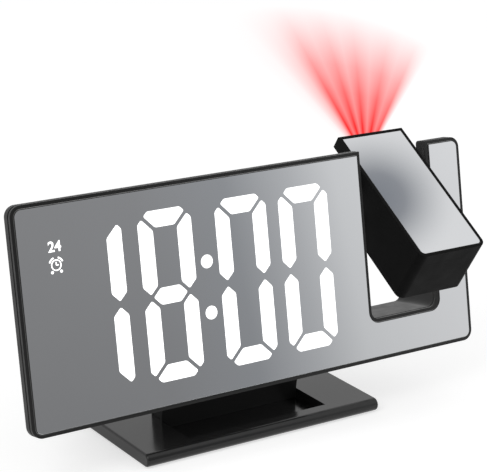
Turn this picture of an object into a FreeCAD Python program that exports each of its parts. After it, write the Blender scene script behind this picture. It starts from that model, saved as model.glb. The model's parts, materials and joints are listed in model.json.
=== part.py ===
"""Projection alarm clock: a leaning mirror-faced body on a flat foot, with a projector block
that tilts in a notch of the body.

The body is drawn in its own directions and then leaned back: x runs across the face, depth runs
back from the face plane and height runs up along the face from its lower edge. All sizes are mm.
"""
import FreeCAD
import Part
import math
import os

Vector = FreeCAD.Vector

# Face of the body and its place over the foot
face_width = 190.0
face_height = 78.6
face_corner = 4.0
lean_deg = 11.5
face_lift = 21.2
face_setback = 0.3

# Mirror panel, the frame that holds it and the rim of the rear shell
panel_thick = 2.0
panel_proud = 0.4
frame_edge = 1.2
panel_gap = 0.1
rim_front = 1.2
groove_width = 0.8
groove_depth = 0.6
rim_rear = 3.5
rim_round = 1.5
shell_wall = 1.8
frame_floor = 1.2
tongue_wall = 1.2
tongue_length = 1.6
tongue_gap = 0.15
panel_round = 0.25
least_corner = 0.5

# Notch for the projector block
ear_width = 16.1
notch_corner = 3.0
side_gap = 0.4
swing_gap = 0.3

# Hump of the rear shell and the deeper pod in its middle
hump_depth = 24.0
hump_left = 9.0
hump_right = 4.0
hump_bottom = 4.0
hump_top = 5.6
hump_corner = 5.0
notch_edge = 2.4
hump_bevel = 1.6
pod_gap = 8.1
pod_top = 52.0
pod_depth = 33.0
pod_corner = 6.0
pod_bevel = 2.4

# Projector block, drawn upright in the notch and then tilted to its rest pose
block_width = 30.0
block_length = 61.2
block_thick = 24.0
block_corner = 3.0
block_wall = 2.0
block_bevel = 1.2
block_slab = 5.0
block_step = 6.0
pivot_below_top = 12.4
rest_tilt_deg = 47.0

# Pivot of the projector
axle_radius = 3.0
axle_bore = 1.8
axle_flange_radius = 4.2
axle_flange = 1.4
axle_stub = 0.8
washer_gap = 0.3
clip_gap = 0.03
bush_wall = 0.8
bush_flange_radius = 4.8
bush_flange = 1.4
running_gap = 0.08
fit_gap = 0.05
washer_thick = 0.7
washer_radius = 4.7
clip_thick = 1.0
clip_radius = 4.6

# Optics inside the projector block
optic_depth = 14.2
tube_radius = 7.6
tube_wall = 1.0
tube_seat_thick = 1.0
tube_seat_ledge = 0.8
tube_length = 29.0
barrel_radius = 6.8
barrel_wall = 0.9
barrel_flange = 1.5
barrel_above = 3.4
barrel_gap = 0.15
ring_radius = 8.2
ring_height = 4.6
ring_lift = 0.3
ring_cap = 1.3
ring_lip = 0.8
ring_tube_wall = 0.8
ring_tube_length = 9.0
ring_groove = 0.35
ring_groove_count = 24
lens_thick = 3.6
lens_bulge = 0.9
lens_inset = 1.2
lens_rings = 3
condenser_thick = 4.0
condenser_bulge = 2.4
condenser_lift = 7.0
slide_side = 9.0
slide_thick = 2.0
slide_lift = 19.0
slide_window_radius = 4.05
led_board_thick = 1.2
led_board_lift = 1.6
emitter_side = 4.0
emitter_height = 1.2
dome_foot_radius = 1.6
dome_top_radius = 0.8
dome_height = 0.6

# Display: four seven-segment digits with bevelled ends, a colon and two signs
digits_left = 19.15
digits_right = 16.35
hour_gap = 6.4
colon_space = 9.8
minute_gap = 5.4
digits_low = 9.9
digits_high = 8.9
segment_width = 5.9
segment_gap = 1.0
outer_bevel = 4.2
colon_spread = 18.2
colon_radius = 2.4
sign_inset = 15.0
sign_drop = 21.6
sign_radius = 3.2
sign_window_radius = 2.24
mask_margin_x = 2.6
mask_margin_z = 1.2
mask_depth = 7.2
mask_flange = 1.5
mask_flange_thick = 0.8
mask_gap = 0.3
board_edge_gap = 0.5
board_corner = 1.0
wing_thick = 1.8
diffuser_thick = 1.5
board_thick = 1.2
led_length = 1.6
led_width = 0.8
led_height = 0.7

# Main board and what stands on it
board_inset_left = 28.0
board_inset_right = 12.1
board_inset_low = 7.0
board_inset_high = 4.0
main_board_depth = 13.5
board_hole_inset = 4.0
chip_side = 10.0
chip_thick = 1.6
driver_width = 8.0
driver_tall = 10.0
regulator_side = 6.0
crystal_radius = 1.5
crystal_length = 6.0
chip_rise = 29.0
regulator_rise = 3.0
chip_inset = 25.0
regulator_inset = 22.0
driver_inset = 18.0
header_length = 20.0
header_width = 2.5
switch_side = 6.0
switch_body = 3.5
plunger_radius = 1.7
plunger_height = 1.2
stem_radius = 2.0
buzzer_inset = 10.0
buzzer_rise = 22.0
buzzer_radius = 6.0
buzzer_thick = 5.0
buzzer_mouth_radius = 1.2
buzzer_mouth_depth = 1.0
sound_hole = 0.8
sound_pitch = 3.4
socket_inset = 12.0
socket_rise = 6.0
socket_width = 8.94
socket_tall = 3.26
socket_wall = 0.32
socket_tongue = 0.7
socket_tongue_side = 1.1
socket_tongue_inset = 0.9
socket_reach = 6.4
socket_gap = 0.25

# Buttons at the back
button_drop = 13.6
button_inset = 8.0
button_radius = 4.0
snooze_inset = 14.0
snooze_length = 18.0
snooze_space = 9.0
button_proud = 1.3
button_bevel = 0.5
button_gap = 0.15
button_flange = 1.0
button_flange_thick = 1.0
button_travel = 0.7
button_end_gap = 0.03

# Backup cell, its holder and its door
cell_radius = 10.0
cell_thick = 3.2
cell_rise = 14.0
cell_gap = 0.15
cell_room = 0.3
cell_cap_step = 0.6
cell_cap_inset = 1.2
holder_side = 25.6
holder_floor = 2.0
holder_leg = 2.5
holder_corner = 1.0
door_width = 29.0
door_rise = 8.0
door_height = 34.0
door_thick = 1.1
door_gap = 0.15
door_ledge = 2.0
door_press_radius = 5.0
door_round = 1.5
contact_thick = 0.4
contact_width = 10.0
contact_tall = 6.0
door_pad_gap = 0.2

# Screws: radius of head and shank, height of head, depth of thread
screw_head = 2.2
screw_shank = 0.95
screw_head_height = 1.6
boss_radius = 2.2
boss_end = 10.4
well_radius = 2.8
well_wall = 0.9
well_floor = 1.5
screw_inset = 4.7
screw_rise = 6.2
notch_screw_inset = 6.5
notch_screw_drop = 16.2
ear_screw_rise = 24.4
small_head = 1.6
small_shank = 0.8
small_head_height = 1.1
small_boss = 2.0
door_boss_wall = 0.6
door_boss_length = 5.0
board_pilot = 6.0
board_screw_reach = 5.0
display_screw_length = 4.0
housing_screw_length = 7.0
door_screw_length = 5.0
block_screw_length = 7.0
neck_screw_length = 5.5
block_seat = 1.2
shank_gap = 0.2
head_gap = 0.2
seat_gap = 0.1
slot_width = 0.7
slot_depth = 0.6
slot_share = 0.75
head_sides = 16
shank_sides = 8
board_hole_rise = 13.0
board_hole_spread = 24.0
display_hole_inset = 2.6
block_screw_inset = 4.3
block_screw_rises = (12.6, 34.6)

# Foot: plate, pocket, upright and pad
plate_width = 101.0
plate_depth = 55.0
plate_top = 5.4
plate_corner = 2.5
plate_side_round = 0.8
pad_proud = 0.4
pad_recess = 0.3
pad_width = 84.0
pad_depth = 44.0
pad_corner = 5.0
pocket_width = 60.0
pocket_front = 6.3
pocket_back = 24.8
pocket_floor = 1.7
neck_gap = 0.1
neck_thick = 7.2
neck_shoulder = 7.5
neck_foot_rise = 1.0
neck_top_depth = 22.0
tongue_width = 52.0
tongue_thick = 4.0
tongue_rise = 8.0
stand_screw_spread = 40.0
stand_screw_length = 6.4
sink_depth = 0.9
neck_screw_rise = 5.2

# How far a cut runs past its piece, how deep joined shapes reach into each other, and how near
# two places are to count as one
past = 1.0
bite = 0.3
same_place = 0.01

# Sizes that follow from the ones above
face_left = -face_width / 2
hump_left_edge = face_left + hump_left
hump_right_edge = face_width / 2 - hump_right
hump_top_edge = face_height - hump_top
notch_right_edge = face_width / 2 - ear_width
panel_inset = frame_edge + panel_gap
panel_back = panel_thick - panel_proud
floor_back = panel_back + frame_floor
shell_front = rim_front + groove_width
shell_back = shell_front + rim_rear
tongue_inset = shell_wall + tongue_gap
hump_inner = hump_depth - shell_wall
pod_inner = pod_depth - shell_wall
notch_left_edge = notch_right_edge - block_width - 2 * side_gap
pod_half = notch_left_edge - pod_gap
block_left = notch_left_edge + side_gap
block_right = block_left + block_width
block_middle = (block_left + block_right) / 2
block_top = face_height
block_bottom = block_top - block_length
block_shoulder = block_top - block_step
pivot_depth = block_thick / 2
pivot_height = face_height - pivot_below_top
swing_radius = math.hypot(block_length - pivot_below_top, block_thick / 2)
notch_floor = pivot_height - swing_radius - swing_gap
axle_end = (shell_wall + bush_flange + washer_thick + clip_thick + 4 * fit_gap + axle_stub)
tube_foot = block_bottom + block_wall + led_board_lift + led_board_thick
tube_head = tube_foot + tube_length
barrel_top = block_shoulder + barrel_above
ring_foot = block_shoulder + ring_lift
ring_top = ring_foot + ring_height
display_span = notch_left_edge - digits_right - face_left - digits_left
digit_width = (display_span - hour_gap - colon_space - minute_gap) / 4
digit_base = digits_low
digit_top = face_height - digits_high
first_digit = face_left + digits_left + digit_width / 2
second_digit = first_digit + digit_width + hour_gap
third_digit = second_digit + digit_width + colon_space
fourth_digit = third_digit + digit_width + minute_gap
digit_centres = (first_digit, second_digit, third_digit, fourth_digit)
colon_x = (second_digit + third_digit) / 2
digit_middle = (digit_base + digit_top) / 2
colon_low = digit_middle - colon_spread / 2
colon_high = digit_middle + colon_spread / 2
sign_x = face_left + sign_inset
sign_height = face_height - sign_drop
mask_left = digit_centres[0] - digit_width / 2 - mask_margin_x
mask_right = digit_centres[-1] + digit_width / 2 + mask_margin_x
mask_low = digit_base - mask_margin_z
mask_high = digit_top + mask_margin_z
mask_front = panel_back + panel_gap
mask_back = mask_front + mask_depth
display_board_back = mask_back + board_thick
main_board_left = hump_left_edge + board_inset_left
main_board_right = notch_left_edge - board_inset_right
main_board_low = hump_bottom + board_inset_low
main_board_high = hump_top_edge - board_inset_high
main_board_back = main_board_depth + board_thick
plunger_top = main_board_back + switch_body + plunger_height
buzzer_x = main_board_left + buzzer_inset
buzzer_height = main_board_low + buzzer_rise
socket_x = main_board_left + socket_inset
socket_height = main_board_low + socket_rise
button_height = face_height - button_drop
snooze_x = main_board_right - snooze_inset
first_button = main_board_left + button_inset
button_pitch = (snooze_x - snooze_length / 2 - snooze_space - first_button) / 3
button_xs = tuple(first_button + i * button_pitch for i in range(4))
door_low = hump_bottom + door_rise
door_high = door_low + door_height
cell_height = door_low + cell_rise
notch_screw_x = notch_left_edge - notch_screw_inset
screw_spots = (
    (hump_left_edge + screw_inset, hump_bottom + screw_rise),
    (hump_left_edge + screw_inset, hump_top_edge - screw_rise),
    (notch_screw_x, hump_bottom + screw_rise),
    (notch_screw_x, pivot_height - notch_screw_drop),
    (block_middle, (hump_bottom + notch_floor) / 2),
    ((notch_right_edge + hump_right_edge) / 2, notch_floor + ear_screw_rise),
)
board_hole_low = main_board_low + board_hole_rise
main_board_spots = (
    (main_board_left + board_hole_inset, board_hole_low),
    (main_board_left + board_hole_inset, board_hole_low + board_hole_spread),
    (main_board_right - board_hole_inset, board_hole_low),
    (main_board_right - board_hole_inset, board_hole_low + board_hole_spread),
)
display_board_spots = tuple(
    (x, height) for x in ((first_digit + second_digit) / 2, (third_digit + fourth_digit) / 2)
    for height in (mask_low + display_hole_inset, mask_high - display_hole_inset))
plate_front = -plate_depth / 2
plate_bottom = pad_proud
face_y = plate_front + face_setback
lean = math.radians(lean_deg)


# Helpers

def rounded_face(corners, depth):
    """Face at one depth whose outline runs through (x, height, radius) corners."""
    points = [Vector(x, depth, height) for x, height, radius in corners]
    count = len(points)
    begins = []
    edges = []
    for i, (x, height, radius) in enumerate(corners):
        back = points[i - 1].sub(points[i])
        ahead = points[(i + 1) % count].sub(points[i])
        back.normalize()
        ahead.normalize()
        if radius <= 0:
            begins.append((points[i], points[i]))
            continue
        half = back.getAngle(ahead) / 2
        reach = radius / math.tan(half)
        toward = back.add(ahead)
        toward.normalize()
        start = points[i].add(Vector(back).multiply(reach))
        end = points[i].add(Vector(ahead).multiply(reach))
        middle = points[i].add(toward.multiply(radius / math.sin(half) - radius))
        begins.append((start, end))
        edges.append(Part.Arc(start, middle, end).toShape())
    for i in range(count):
        start = begins[i][1]
        end = begins[(i + 1) % count][0]
        if start.distanceToPoint(end) > same_place / 1000:
            edges.append(Part.LineSegment(start, end).toShape())
    return Part.Face(Part.Wire(Part.__sortEdges__(edges)))


def prism(corners, front, back):
    """Solid between two depths with a rounded outline."""
    return rounded_face(corners, front).extrude(Vector(0, back - front, 0))


def box_corners(left, right, low, high, radius=0.0):
    """Corners of an upright rectangle for prism()."""
    return [(left, low, radius), (right, low, radius), (right, high, radius), (left, high, radius)]


def block(left, right, front, back, low, high):
    """Plain rectangular solid from its six limits."""
    return Part.makeBox(right - left, back - front, high - low, Vector(left, front, low))


def disc(radius, x, height, front, back):
    """Round solid whose axis runs along the depth."""
    return Part.makeCylinder(radius, back - front, Vector(x, front, height), Vector(0, 1, 0))


def faceted(radius, sides, x, height, front, back):
    """Prism with few sides along the depth, for small fasteners and stems."""
    turns = [2 * math.pi * i / sides for i in range(sides)]
    corners = [(x + radius * math.cos(turn), height + radius * math.sin(turn), 0.0) for turn in turns]
    return prism(corners, front, back)


def pillar(radius, x, depth, low, high):
    """Round solid whose axis runs up."""
    return Part.makeCylinder(radius, high - low, Vector(x, depth, low), Vector(0, 0, 1))


def round_edges(shape, radius, choose):
    """Round every edge for which choose(edge) is true."""
    edges = [edge for edge in shape.Edges if choose(edge)]
    return shape.makeFillet(radius, edges)


def bevel_edges(shape, size, choose):
    """Bevel every edge for which choose(edge) is true."""
    edges = [edge for edge in shape.Edges if choose(edge)]
    return shape.makeChamfer(size, edges)


def at_depth(edge, depth):
    """True when the whole edge lies at one depth."""
    limits = edge.BoundBox
    return abs(limits.YMin - depth) < same_place and abs(limits.YMax - depth) < same_place


def joined(shapes):
    """One solid from shapes that touch or overlap."""
    first = shapes[0]
    return first.fuse(shapes[1:]).removeSplitter()


def lean_body(shape):
    """Lean a body-frame shape back and lift it to its place over the foot."""
    placed = shape.copy()
    placed.rotate(Vector(0, 0, 0), Vector(1, 0, 0), -lean_deg)
    placed.translate(Vector(0, face_y, face_lift))
    return placed


def tilt_projector(shape):
    """Tilt a projector shape from upright to the rest pose, then place it with the body."""
    tilted = shape.copy()
    tilted.rotate(Vector(0, pivot_depth, pivot_height), Vector(1, 0, 0), -rest_tilt_deg)
    return lean_body(tilted)


def body_point(depth, height):
    """Row y and z of a point given in the body's depth and height."""
    y = face_y + height * math.sin(lean) + depth * math.cos(lean)
    z = face_lift + height * math.cos(lean) - depth * math.sin(lean)
    return y, z


def face_outline(inset):
    """Outline of the body's face with its notch, drawn in by inset."""
    side = face_width / 2 - inset
    top = face_height - inset
    outer = max(face_corner - inset, least_corner)
    left = notch_left_edge - inset
    right = notch_right_edge + inset
    floor = notch_floor - inset
    inner = notch_corner + inset
    return [(-side, inset, outer), (side, inset, outer), (side, top, outer), (right, top, 0.0),
            (right, floor, inner), (left, floor, inner), (left, top, 0.0), (-side, top, outer)]


def hump_outline(inset):
    """Outline of the hump: narrower than the face, flush with it in the notch."""
    left = hump_left_edge + inset
    right = hump_right_edge - inset
    low = hump_bottom + inset
    high = hump_top_edge - inset
    outer = max(hump_corner - inset, least_corner)
    edge = max(notch_edge - inset, 0.0)
    notch_left = notch_left_edge - inset
    notch_right = notch_right_edge + inset
    floor = notch_floor - inset
    inner = notch_corner + inset
    return [(left, low, outer), (right, low, outer), (right, high, outer / 2),
            (notch_right, high, edge), (notch_right, floor, inner), (notch_left, floor, inner),
            (notch_left, high, edge), (left, high, outer)]


def pod_outline(inset):
    """Outline of the deeper pod in the middle of the hump."""
    half = pod_half - inset
    return box_corners(-half, half, hump_bottom + inset, pod_top - inset, pod_corner - inset)


def back_inner(x, height):
    """Depth of the inside of the rear shell's back wall at one spot."""
    in_pod = abs(x) < pod_half and height < pod_top
    return pod_inner if in_pod else hump_inner


# Body: mirror, frame and rear shell

def front_mirror():
    """One-way mirror panel over the whole front, a little proud of its frame."""
    panel = prism(face_outline(panel_inset), -panel_proud, panel_back)
    return round_edges(panel, panel_round, lambda edge: at_depth(edge, -panel_proud))


def front_frame():
    """Thin frame with a seat for the panel, a parting groove and a tongue into the shell."""
    rim = prism(face_outline(0.0), 0.0, rim_front)
    neck = prism(face_outline(groove_depth), rim_front, shell_front)
    tongue = prism(face_outline(tongue_inset), shell_front, shell_front + tongue_length)
    frame = joined([rim, neck, tongue])
    frame = frame.cut(prism(face_outline(frame_edge), -past, panel_back))
    hollow_end = shell_front + tongue_length + past
    frame = frame.cut(prism(face_outline(tongue_inset + tongue_wall), floor_back, hollow_end))
    for x, height in screw_spots:
        frame = frame.fuse(disc(boss_radius, x, height, panel_back + bite, boss_end))
    window = box_corners(mask_left - mask_gap, mask_right + mask_gap,
                         mask_low - mask_gap, mask_high + mask_gap)
    frame = frame.cut(prism(window, panel_back - past, floor_back + bite))
    wing = box_corners(sign_x - 2 * sign_radius - mask_gap, mask_left,
                       sign_height - 2 * sign_radius - mask_gap,
                       sign_height + 3 * sign_radius + mask_gap)
    frame = frame.cut(prism(wing, panel_back - past, mask_front + wing_thick + seat_gap))
    for x, height in screw_spots:
        frame = frame.cut(disc(screw_shank + fit_gap, x, height, floor_back, boss_end + past))
    return frame.removeSplitter()


def screw_wells(shell):
    """Add the deep screw wells and bore them through."""
    for x, height in screw_spots:
        shell = shell.fuse(disc(well_radius + well_wall, x, height, boss_end + seat_gap,
                                hump_inner + bite))
    for x, height in screw_spots:
        seat = boss_end + seat_gap + well_floor
        shell = shell.cut(disc(well_radius, x, height, seat, hump_depth + past))
        shell = shell.cut(disc(screw_shank + shank_gap, x, height, boss_end - past, seat + past))
    return shell


def shell_bosses(shell):
    """Bosses for the main board and the battery door, with pilot holes."""
    for x, height in main_board_spots:
        end = back_inner(x, height) + bite
        shell = shell.fuse(disc(small_boss, x, height, main_board_back, end))
        shell = shell.cut(disc(small_shank + fit_gap, x, height, main_board_back - past,
                               main_board_back + board_pilot))
    x, height = door_screw_spot()
    boss_front = pod_inner - door_boss_length
    shell = shell.fuse(disc(small_boss + door_boss_wall, x, height, boss_front, pod_inner + bite))
    shell = shell.cut(disc(small_shank + fit_gap, x, height, boss_front - past, pod_depth + past))
    return shell


def rear_housing():
    """Rear shell: rounded rim, hump with the notch, deeper pod, and every opening in them."""
    rim = prism(face_outline(0.0), shell_front, shell_back)
    rim = round_edges(rim, rim_round, outside_rear_edge)
    hump = prism(hump_outline(0.0), shell_front + past, hump_depth)
    hump = bevel_edges(hump, hump_bevel, lambda edge: at_depth(edge, hump_depth))
    pod = prism(pod_outline(0.0), hump_inner, pod_depth)
    pod = bevel_edges(pod, pod_bevel, lambda edge: at_depth(edge, pod_depth))
    shell = rim.fuse([hump, pod])
    shell = shell.cut(prism(face_outline(shell_wall), shell_front - past, shell_back - shell_wall))
    shell = shell.cut(prism(hump_outline(shell_wall), shell_front, hump_inner))
    shell = shell.cut(prism(pod_outline(shell_wall), hump_inner - past, pod_inner))
    shell = screw_wells(shell)
    shell = shell_bosses(shell)
    for side, wall in pivot_sides():
        hole = Part.makeCylinder(axle_radius + running_gap + bush_wall + fit_gap,
                                 shell_wall + 2 * past,
                                 Vector(wall - side, pivot_depth, pivot_height), Vector(side, 0, 0))
        shell = shell.cut(hole)
    for x in button_xs:
        shell = shell.cut(disc(button_radius + button_gap, x, button_height,
                               hump_inner - past, hump_depth + past))
    shell = shell.cut(prism(snooze_outline(button_gap), hump_inner - past, hump_depth + past))
    shell = shell.cut(prism(socket_outline(socket_gap), hump_inner - past, hump_depth + past))
    for x, height in sound_spots():
        shell = shell.cut(disc(sound_hole, x, height, hump_inner - past, hump_depth + past))
    shell = shell.cut(prism(door_outline(door_gap), pod_depth - door_thick, pod_depth + past))
    shell = shell.cut(prism(cell_window(), pod_inner - past, pod_depth))
    shell = shell.cut(neck_slot())
    for x in neck_screw_xs():
        shell = shell.cut(disc(small_shank + shank_gap, x, neck_screw_height(), pod_inner - past,
                               pod_depth + past))
    return shell.removeSplitter()


def outside_rear_edge(edge):
    """Rear edges of the rim, apart from those inside the notch."""
    if not at_depth(edge, shell_back):
        return False
    limits = edge.BoundBox
    inside = limits.XMin > notch_left_edge - same_place and limits.XMax < notch_right_edge + same_place
    return not (inside and limits.ZMax > notch_floor - same_place)


# Display behind the mirror

def segment_corners(centre, name):
    """Outline of one lit segment, with its bevelled ends, as (x, height, radius) corners."""
    left = centre - digit_width / 2
    right = centre + digit_width / 2
    low = digit_base
    high = digit_top
    middle = (low + high) / 2
    w = segment_width
    g = segment_gap
    b = outer_bevel
    wide = (b + g) / 2
    slim = (b - g) / 2
    if name == "a":
        points = [(left + b, high), (right - b, high), (right - wide, high - slim),
                  (right - w - g, high - w), (left + w + g, high - w), (left + wide, high - slim)]
    if name == "d":
        points = [(x, low + high - height) for x, height in segment_corners(centre, "a")]
    if name == "g":
        points = [(left + w / 2 + g, middle), (left + w + g, middle + w / 2),
                  (right - w - g, middle + w / 2), (right - w / 2 - g, middle),
                  (right - w - g, middle - w / 2), (left + w + g, middle - w / 2)]
    if name == "f":
        points = [(left, high - b), (left + slim, high - wide), (left + w, high - w - g),
                  (left + w, middle + w / 2 + g), (left + w / 2, middle + g),
                  (left, middle + w / 2 + g)]
    if name == "e":
        points = [(x, low + high - height) for x, height in segment_corners(centre, "f")]
    if name == "b":
        points = [(2 * centre - x, height) for x, height in segment_corners(centre, "f")]
    if name == "c":
        points = [(2 * centre - x, height) for x, height in segment_corners(centre, "e")]
    return points


def segment_prism(points, front, back):
    """Solid of one segment outline between two depths."""
    return prism([(x, height, 0.0) for x, height in points], front, back)


def segment_centre(points):
    """Middle of a segment's outline."""
    xs = [x for x, height in points]
    heights = [height for x, height in points]
    return (min(xs) + max(xs)) / 2, (min(heights) + max(heights)) / 2


def all_segments():
    """Outlines of all segments of the four digits."""
    return [segment_corners(centre, name) for centre in digit_centres for name in "abcdefg"]


def colon_spots():
    """Centres of the two colon dots."""
    return [(colon_x, colon_low), (colon_x, colon_high)]


def sign_spots():
    """Centres of the small signs at the left, a ring and a bar above it."""
    return [(sign_x, sign_height), (sign_x, sign_height + 2 * sign_radius)]


def segment_mask():
    """Opaque block with one light well per segment and a thin wing for the signs."""
    mask = prism(box_corners(mask_left, mask_right, mask_low, mask_high), mask_front, mask_back)
    flange = box_corners(mask_left - mask_gap - mask_flange, mask_right + mask_gap + mask_flange,
                         mask_low - mask_gap - mask_flange, mask_high + mask_gap + mask_flange)
    mask = mask.fuse(prism(flange, floor_back, floor_back + mask_flange_thick))
    wing = box_corners(sign_x - 2 * sign_radius, mask_left + past, sign_height - 2 * sign_radius,
                       sign_height + 3 * sign_radius)
    mask = mask.fuse(prism(wing, mask_front, mask_front + wing_thick))
    for x, height in screw_spots:
        mask = mask.cut(disc(boss_radius + mask_gap, x, height, mask_front - past, mask_back + past))
    for points in all_segments():
        mask = mask.cut(segment_prism(points, mask_front - past, mask_back + past))
    for x, height in colon_spots():
        mask = mask.cut(disc(colon_radius, x, height, mask_front - past, mask_back + past))
    for x, height in sign_spots():
        mask = mask.cut(disc(sign_window_radius, x, height, mask_front - past, mask_back + past))
    for x, height in display_board_spots:
        mask = mask.cut(disc(small_shank + fit_gap, x, height,
                             mask_back - display_screw_length, mask_back + past))
    return mask.removeSplitter()


def segment_diffusers():
    """Translucent pieces that fill the front of the light wells."""
    back = mask_front + diffuser_thick
    pieces = [segment_prism(points, mask_front, back) for points in all_segments()]
    pieces = [shrink(piece) for piece in pieces]
    pieces += [disc(colon_radius - fit_gap, x, height, mask_front, back)
               for x, height in colon_spots()]
    pieces += [disc(sign_window_radius - fit_gap, x, height, mask_front, back)
               for x, height in sign_spots()]
    return Part.makeCompound(pieces)


def shrink(piece):
    """Draw a thin piece in all round by the fit gap, about its own middle."""
    limits = piece.BoundBox
    matrix = FreeCAD.Matrix()
    matrix.A11 = 1 - 2 * fit_gap / limits.XLength
    matrix.A33 = 1 - 2 * fit_gap / limits.ZLength
    matrix.A14 = limits.Center.x * (1 - matrix.A11)
    matrix.A34 = limits.Center.z * (1 - matrix.A33)
    return piece.transformGeometry(matrix)


def display_board():
    """Board behind the mask that carries the display's light sources."""
    board = prism(box_corners(mask_left + board_edge_gap, mask_right - board_edge_gap,
                              mask_low + board_edge_gap, mask_high - board_edge_gap,
                              board_corner), mask_back, display_board_back)
    for x, height in display_board_spots:
        board = board.cut(disc(small_shank + shank_gap, x, height, mask_back - past,
                               display_board_back + past))
    return board


def segment_leds():
    """One small light source in each well, on the display board."""
    pieces = []
    spots = [segment_centre(points) for points in all_segments()] + colon_spots()
    for x, height in spots:
        pieces.append(block(x - led_width / 2, x + led_width / 2, mask_back - led_height,
                            mask_back, height - led_length / 2, height + led_length / 2))
    return Part.makeCompound(pieces)


# Main board, its parts and the buttons

def main_board():
    """Board that carries the controller, the switches, the buzzer and the power socket."""
    board = prism(box_corners(main_board_left, main_board_right, main_board_low,
                              main_board_high, board_corner), main_board_depth, main_board_back)
    for x, height in main_board_spots:
        board = board.cut(disc(small_shank + shank_gap, x, height, main_board_depth - past,
                               main_board_back + past))
    return board


def board_header():
    """Pin header that joins the two boards."""
    x = digit_centres[2]
    height = (main_board_low + main_board_high) / 2
    return block(x - header_length / 2, x + header_length / 2, display_board_back,
                 main_board_depth, height - header_width / 2, height + header_width / 2)


def board_chips():
    """Controller, display driver, regulator and clock crystal."""
    front = main_board_back
    low = main_board_low + chip_rise
    left = main_board_left + chip_inset
    controller = block(left, left + chip_side, front, front + chip_thick, low, low + chip_side)
    crystal = faceted(crystal_radius, head_sides, left + chip_side + 2 * crystal_radius,
                      low + chip_side / 2, front, front + crystal_length)
    left = main_board_right - driver_inset
    driver = block(left, left + driver_width, front, front + chip_thick, low, low + driver_tall)
    left = main_board_left + regulator_inset
    low = main_board_low + regulator_rise
    regulator = block(left, left + regulator_side, front, front + chip_thick, low,
                      low + regulator_side)
    return Part.makeCompound([controller, driver, regulator, crystal])


def tact_switches():
    """Push switches behind the buttons."""
    pieces = []
    for x in button_xs + (snooze_x,):
        half = switch_side / 2
        body = block(x - half, x + half, main_board_back, main_board_back + switch_body,
                     button_height - half, button_height + half)
        plunger = faceted(plunger_radius, head_sides, x, button_height,
                          main_board_back + switch_body - bite, plunger_top)
        pieces.append(body.fuse(plunger))
    return Part.makeCompound(pieces)


def snooze_outline(grow):
    """Outline of the long button, grown by grow."""
    half = snooze_length / 2 + grow
    radius = button_radius + grow
    return box_corners(snooze_x - half, snooze_x + half, button_height - radius,
                       button_height + radius, radius - 0.01)


def button(cap, flange_shape, x):
    """Cap through the back wall, retaining flange behind it, and a stem to the switch."""
    cap = bevel_edges(cap, button_bevel, lambda edge: at_depth(edge, hump_depth + button_proud))
    stem_end = plunger_top + button_travel + button_end_gap
    stem = faceted(stem_radius, head_sides, x, button_height, stem_end, hump_inner)
    return joined([cap, flange_shape, stem])


def round_button(x):
    """Round push button."""
    back = hump_inner - seat_gap
    cap = disc(button_radius, x, button_height, back - bite, hump_depth + button_proud)
    flange_shape = disc(button_radius + button_flange, x, button_height,
                        back - button_flange_thick, back)
    return button(cap, flange_shape, x)


def snooze_button():
    """Long push button."""
    back = hump_inner - seat_gap
    cap = prism(snooze_outline(0.0), back - bite, hump_depth + button_proud)
    flange_shape = prism(snooze_outline(button_flange), back - button_flange_thick, back)
    return button(cap, flange_shape, snooze_x)


def sound_spots():
    """Centres of the sound holes in front of the buzzer."""
    spots = [(buzzer_x, buzzer_height)]
    for i in range(6):
        angle = math.radians(60 * i)
        spots.append((buzzer_x + sound_pitch * math.cos(angle),
                      buzzer_height + sound_pitch * math.sin(angle)))
    return spots


def buzzer():
    """Round buzzer with its sound mouth."""
    body = disc(buzzer_radius, buzzer_x, buzzer_height, main_board_back,
                main_board_back + buzzer_thick)
    mouth = disc(buzzer_mouth_radius, buzzer_x, buzzer_height,
                 main_board_back + buzzer_thick - buzzer_mouth_depth,
                 main_board_back + buzzer_thick + past)
    return body.cut(mouth)


def socket_outline(grow):
    """Rounded outline of the power socket, grown by grow."""
    half = socket_width / 2 + grow
    rise = socket_tall / 2 + grow
    return box_corners(socket_x - half, socket_x + half, socket_height - rise,
                       socket_height + rise, rise - 0.01)


def power_socket():
    """Power socket: a rounded metal sleeve with a contact tongue in it."""
    sleeve = prism(socket_outline(0.0), main_board_back, hump_depth)
    mouth = prism(socket_outline(-socket_wall), hump_depth - socket_reach, hump_depth + past)
    half = socket_width / 2 - socket_tongue_side
    tongue = block(socket_x - half, socket_x + half, hump_depth - socket_reach - bite,
                   hump_depth - socket_tongue_inset, socket_height - socket_tongue / 2,
                   socket_height + socket_tongue / 2)
    return sleeve.cut(mouth).fuse(tongue).removeSplitter()


# Backup cell and its door

def holder_back():
    """Depth of the cell holder's open end, just inside the pod's back wall."""
    return pod_inner - seat_gap


def cell_holder():
    """Holder on four legs with a round pocket for the cell."""
    half = holder_side / 2
    back = holder_back()
    floor = back - cell_thick - cell_room - holder_floor - contact_thick
    body = prism(box_corners(-half, half, cell_height - half, cell_height + half,
                              holder_corner), floor, back)
    body = body.cut(disc(cell_radius + cell_gap, 0.0, cell_height, floor + holder_floor, back + past))
    for side in (-1, 1):
        for end in (-1, 1):
            x = side * (half - holder_leg / 2)
            height = cell_height + end * (half - holder_leg / 2)
            body = body.fuse(block(x - holder_leg / 2, x + holder_leg / 2, main_board_back,
                                   floor + bite, height - holder_leg / 2, height + holder_leg / 2))
    return body.removeSplitter()


def cell_contacts():
    """Flat contact under the cell."""
    front = holder_back() - cell_thick - cell_room - contact_thick
    return prism(box_corners(-contact_width / 2, contact_width / 2, cell_height - contact_tall / 2,
                             cell_height + contact_tall / 2, holder_corner),
                 front, front + contact_thick)


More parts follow.
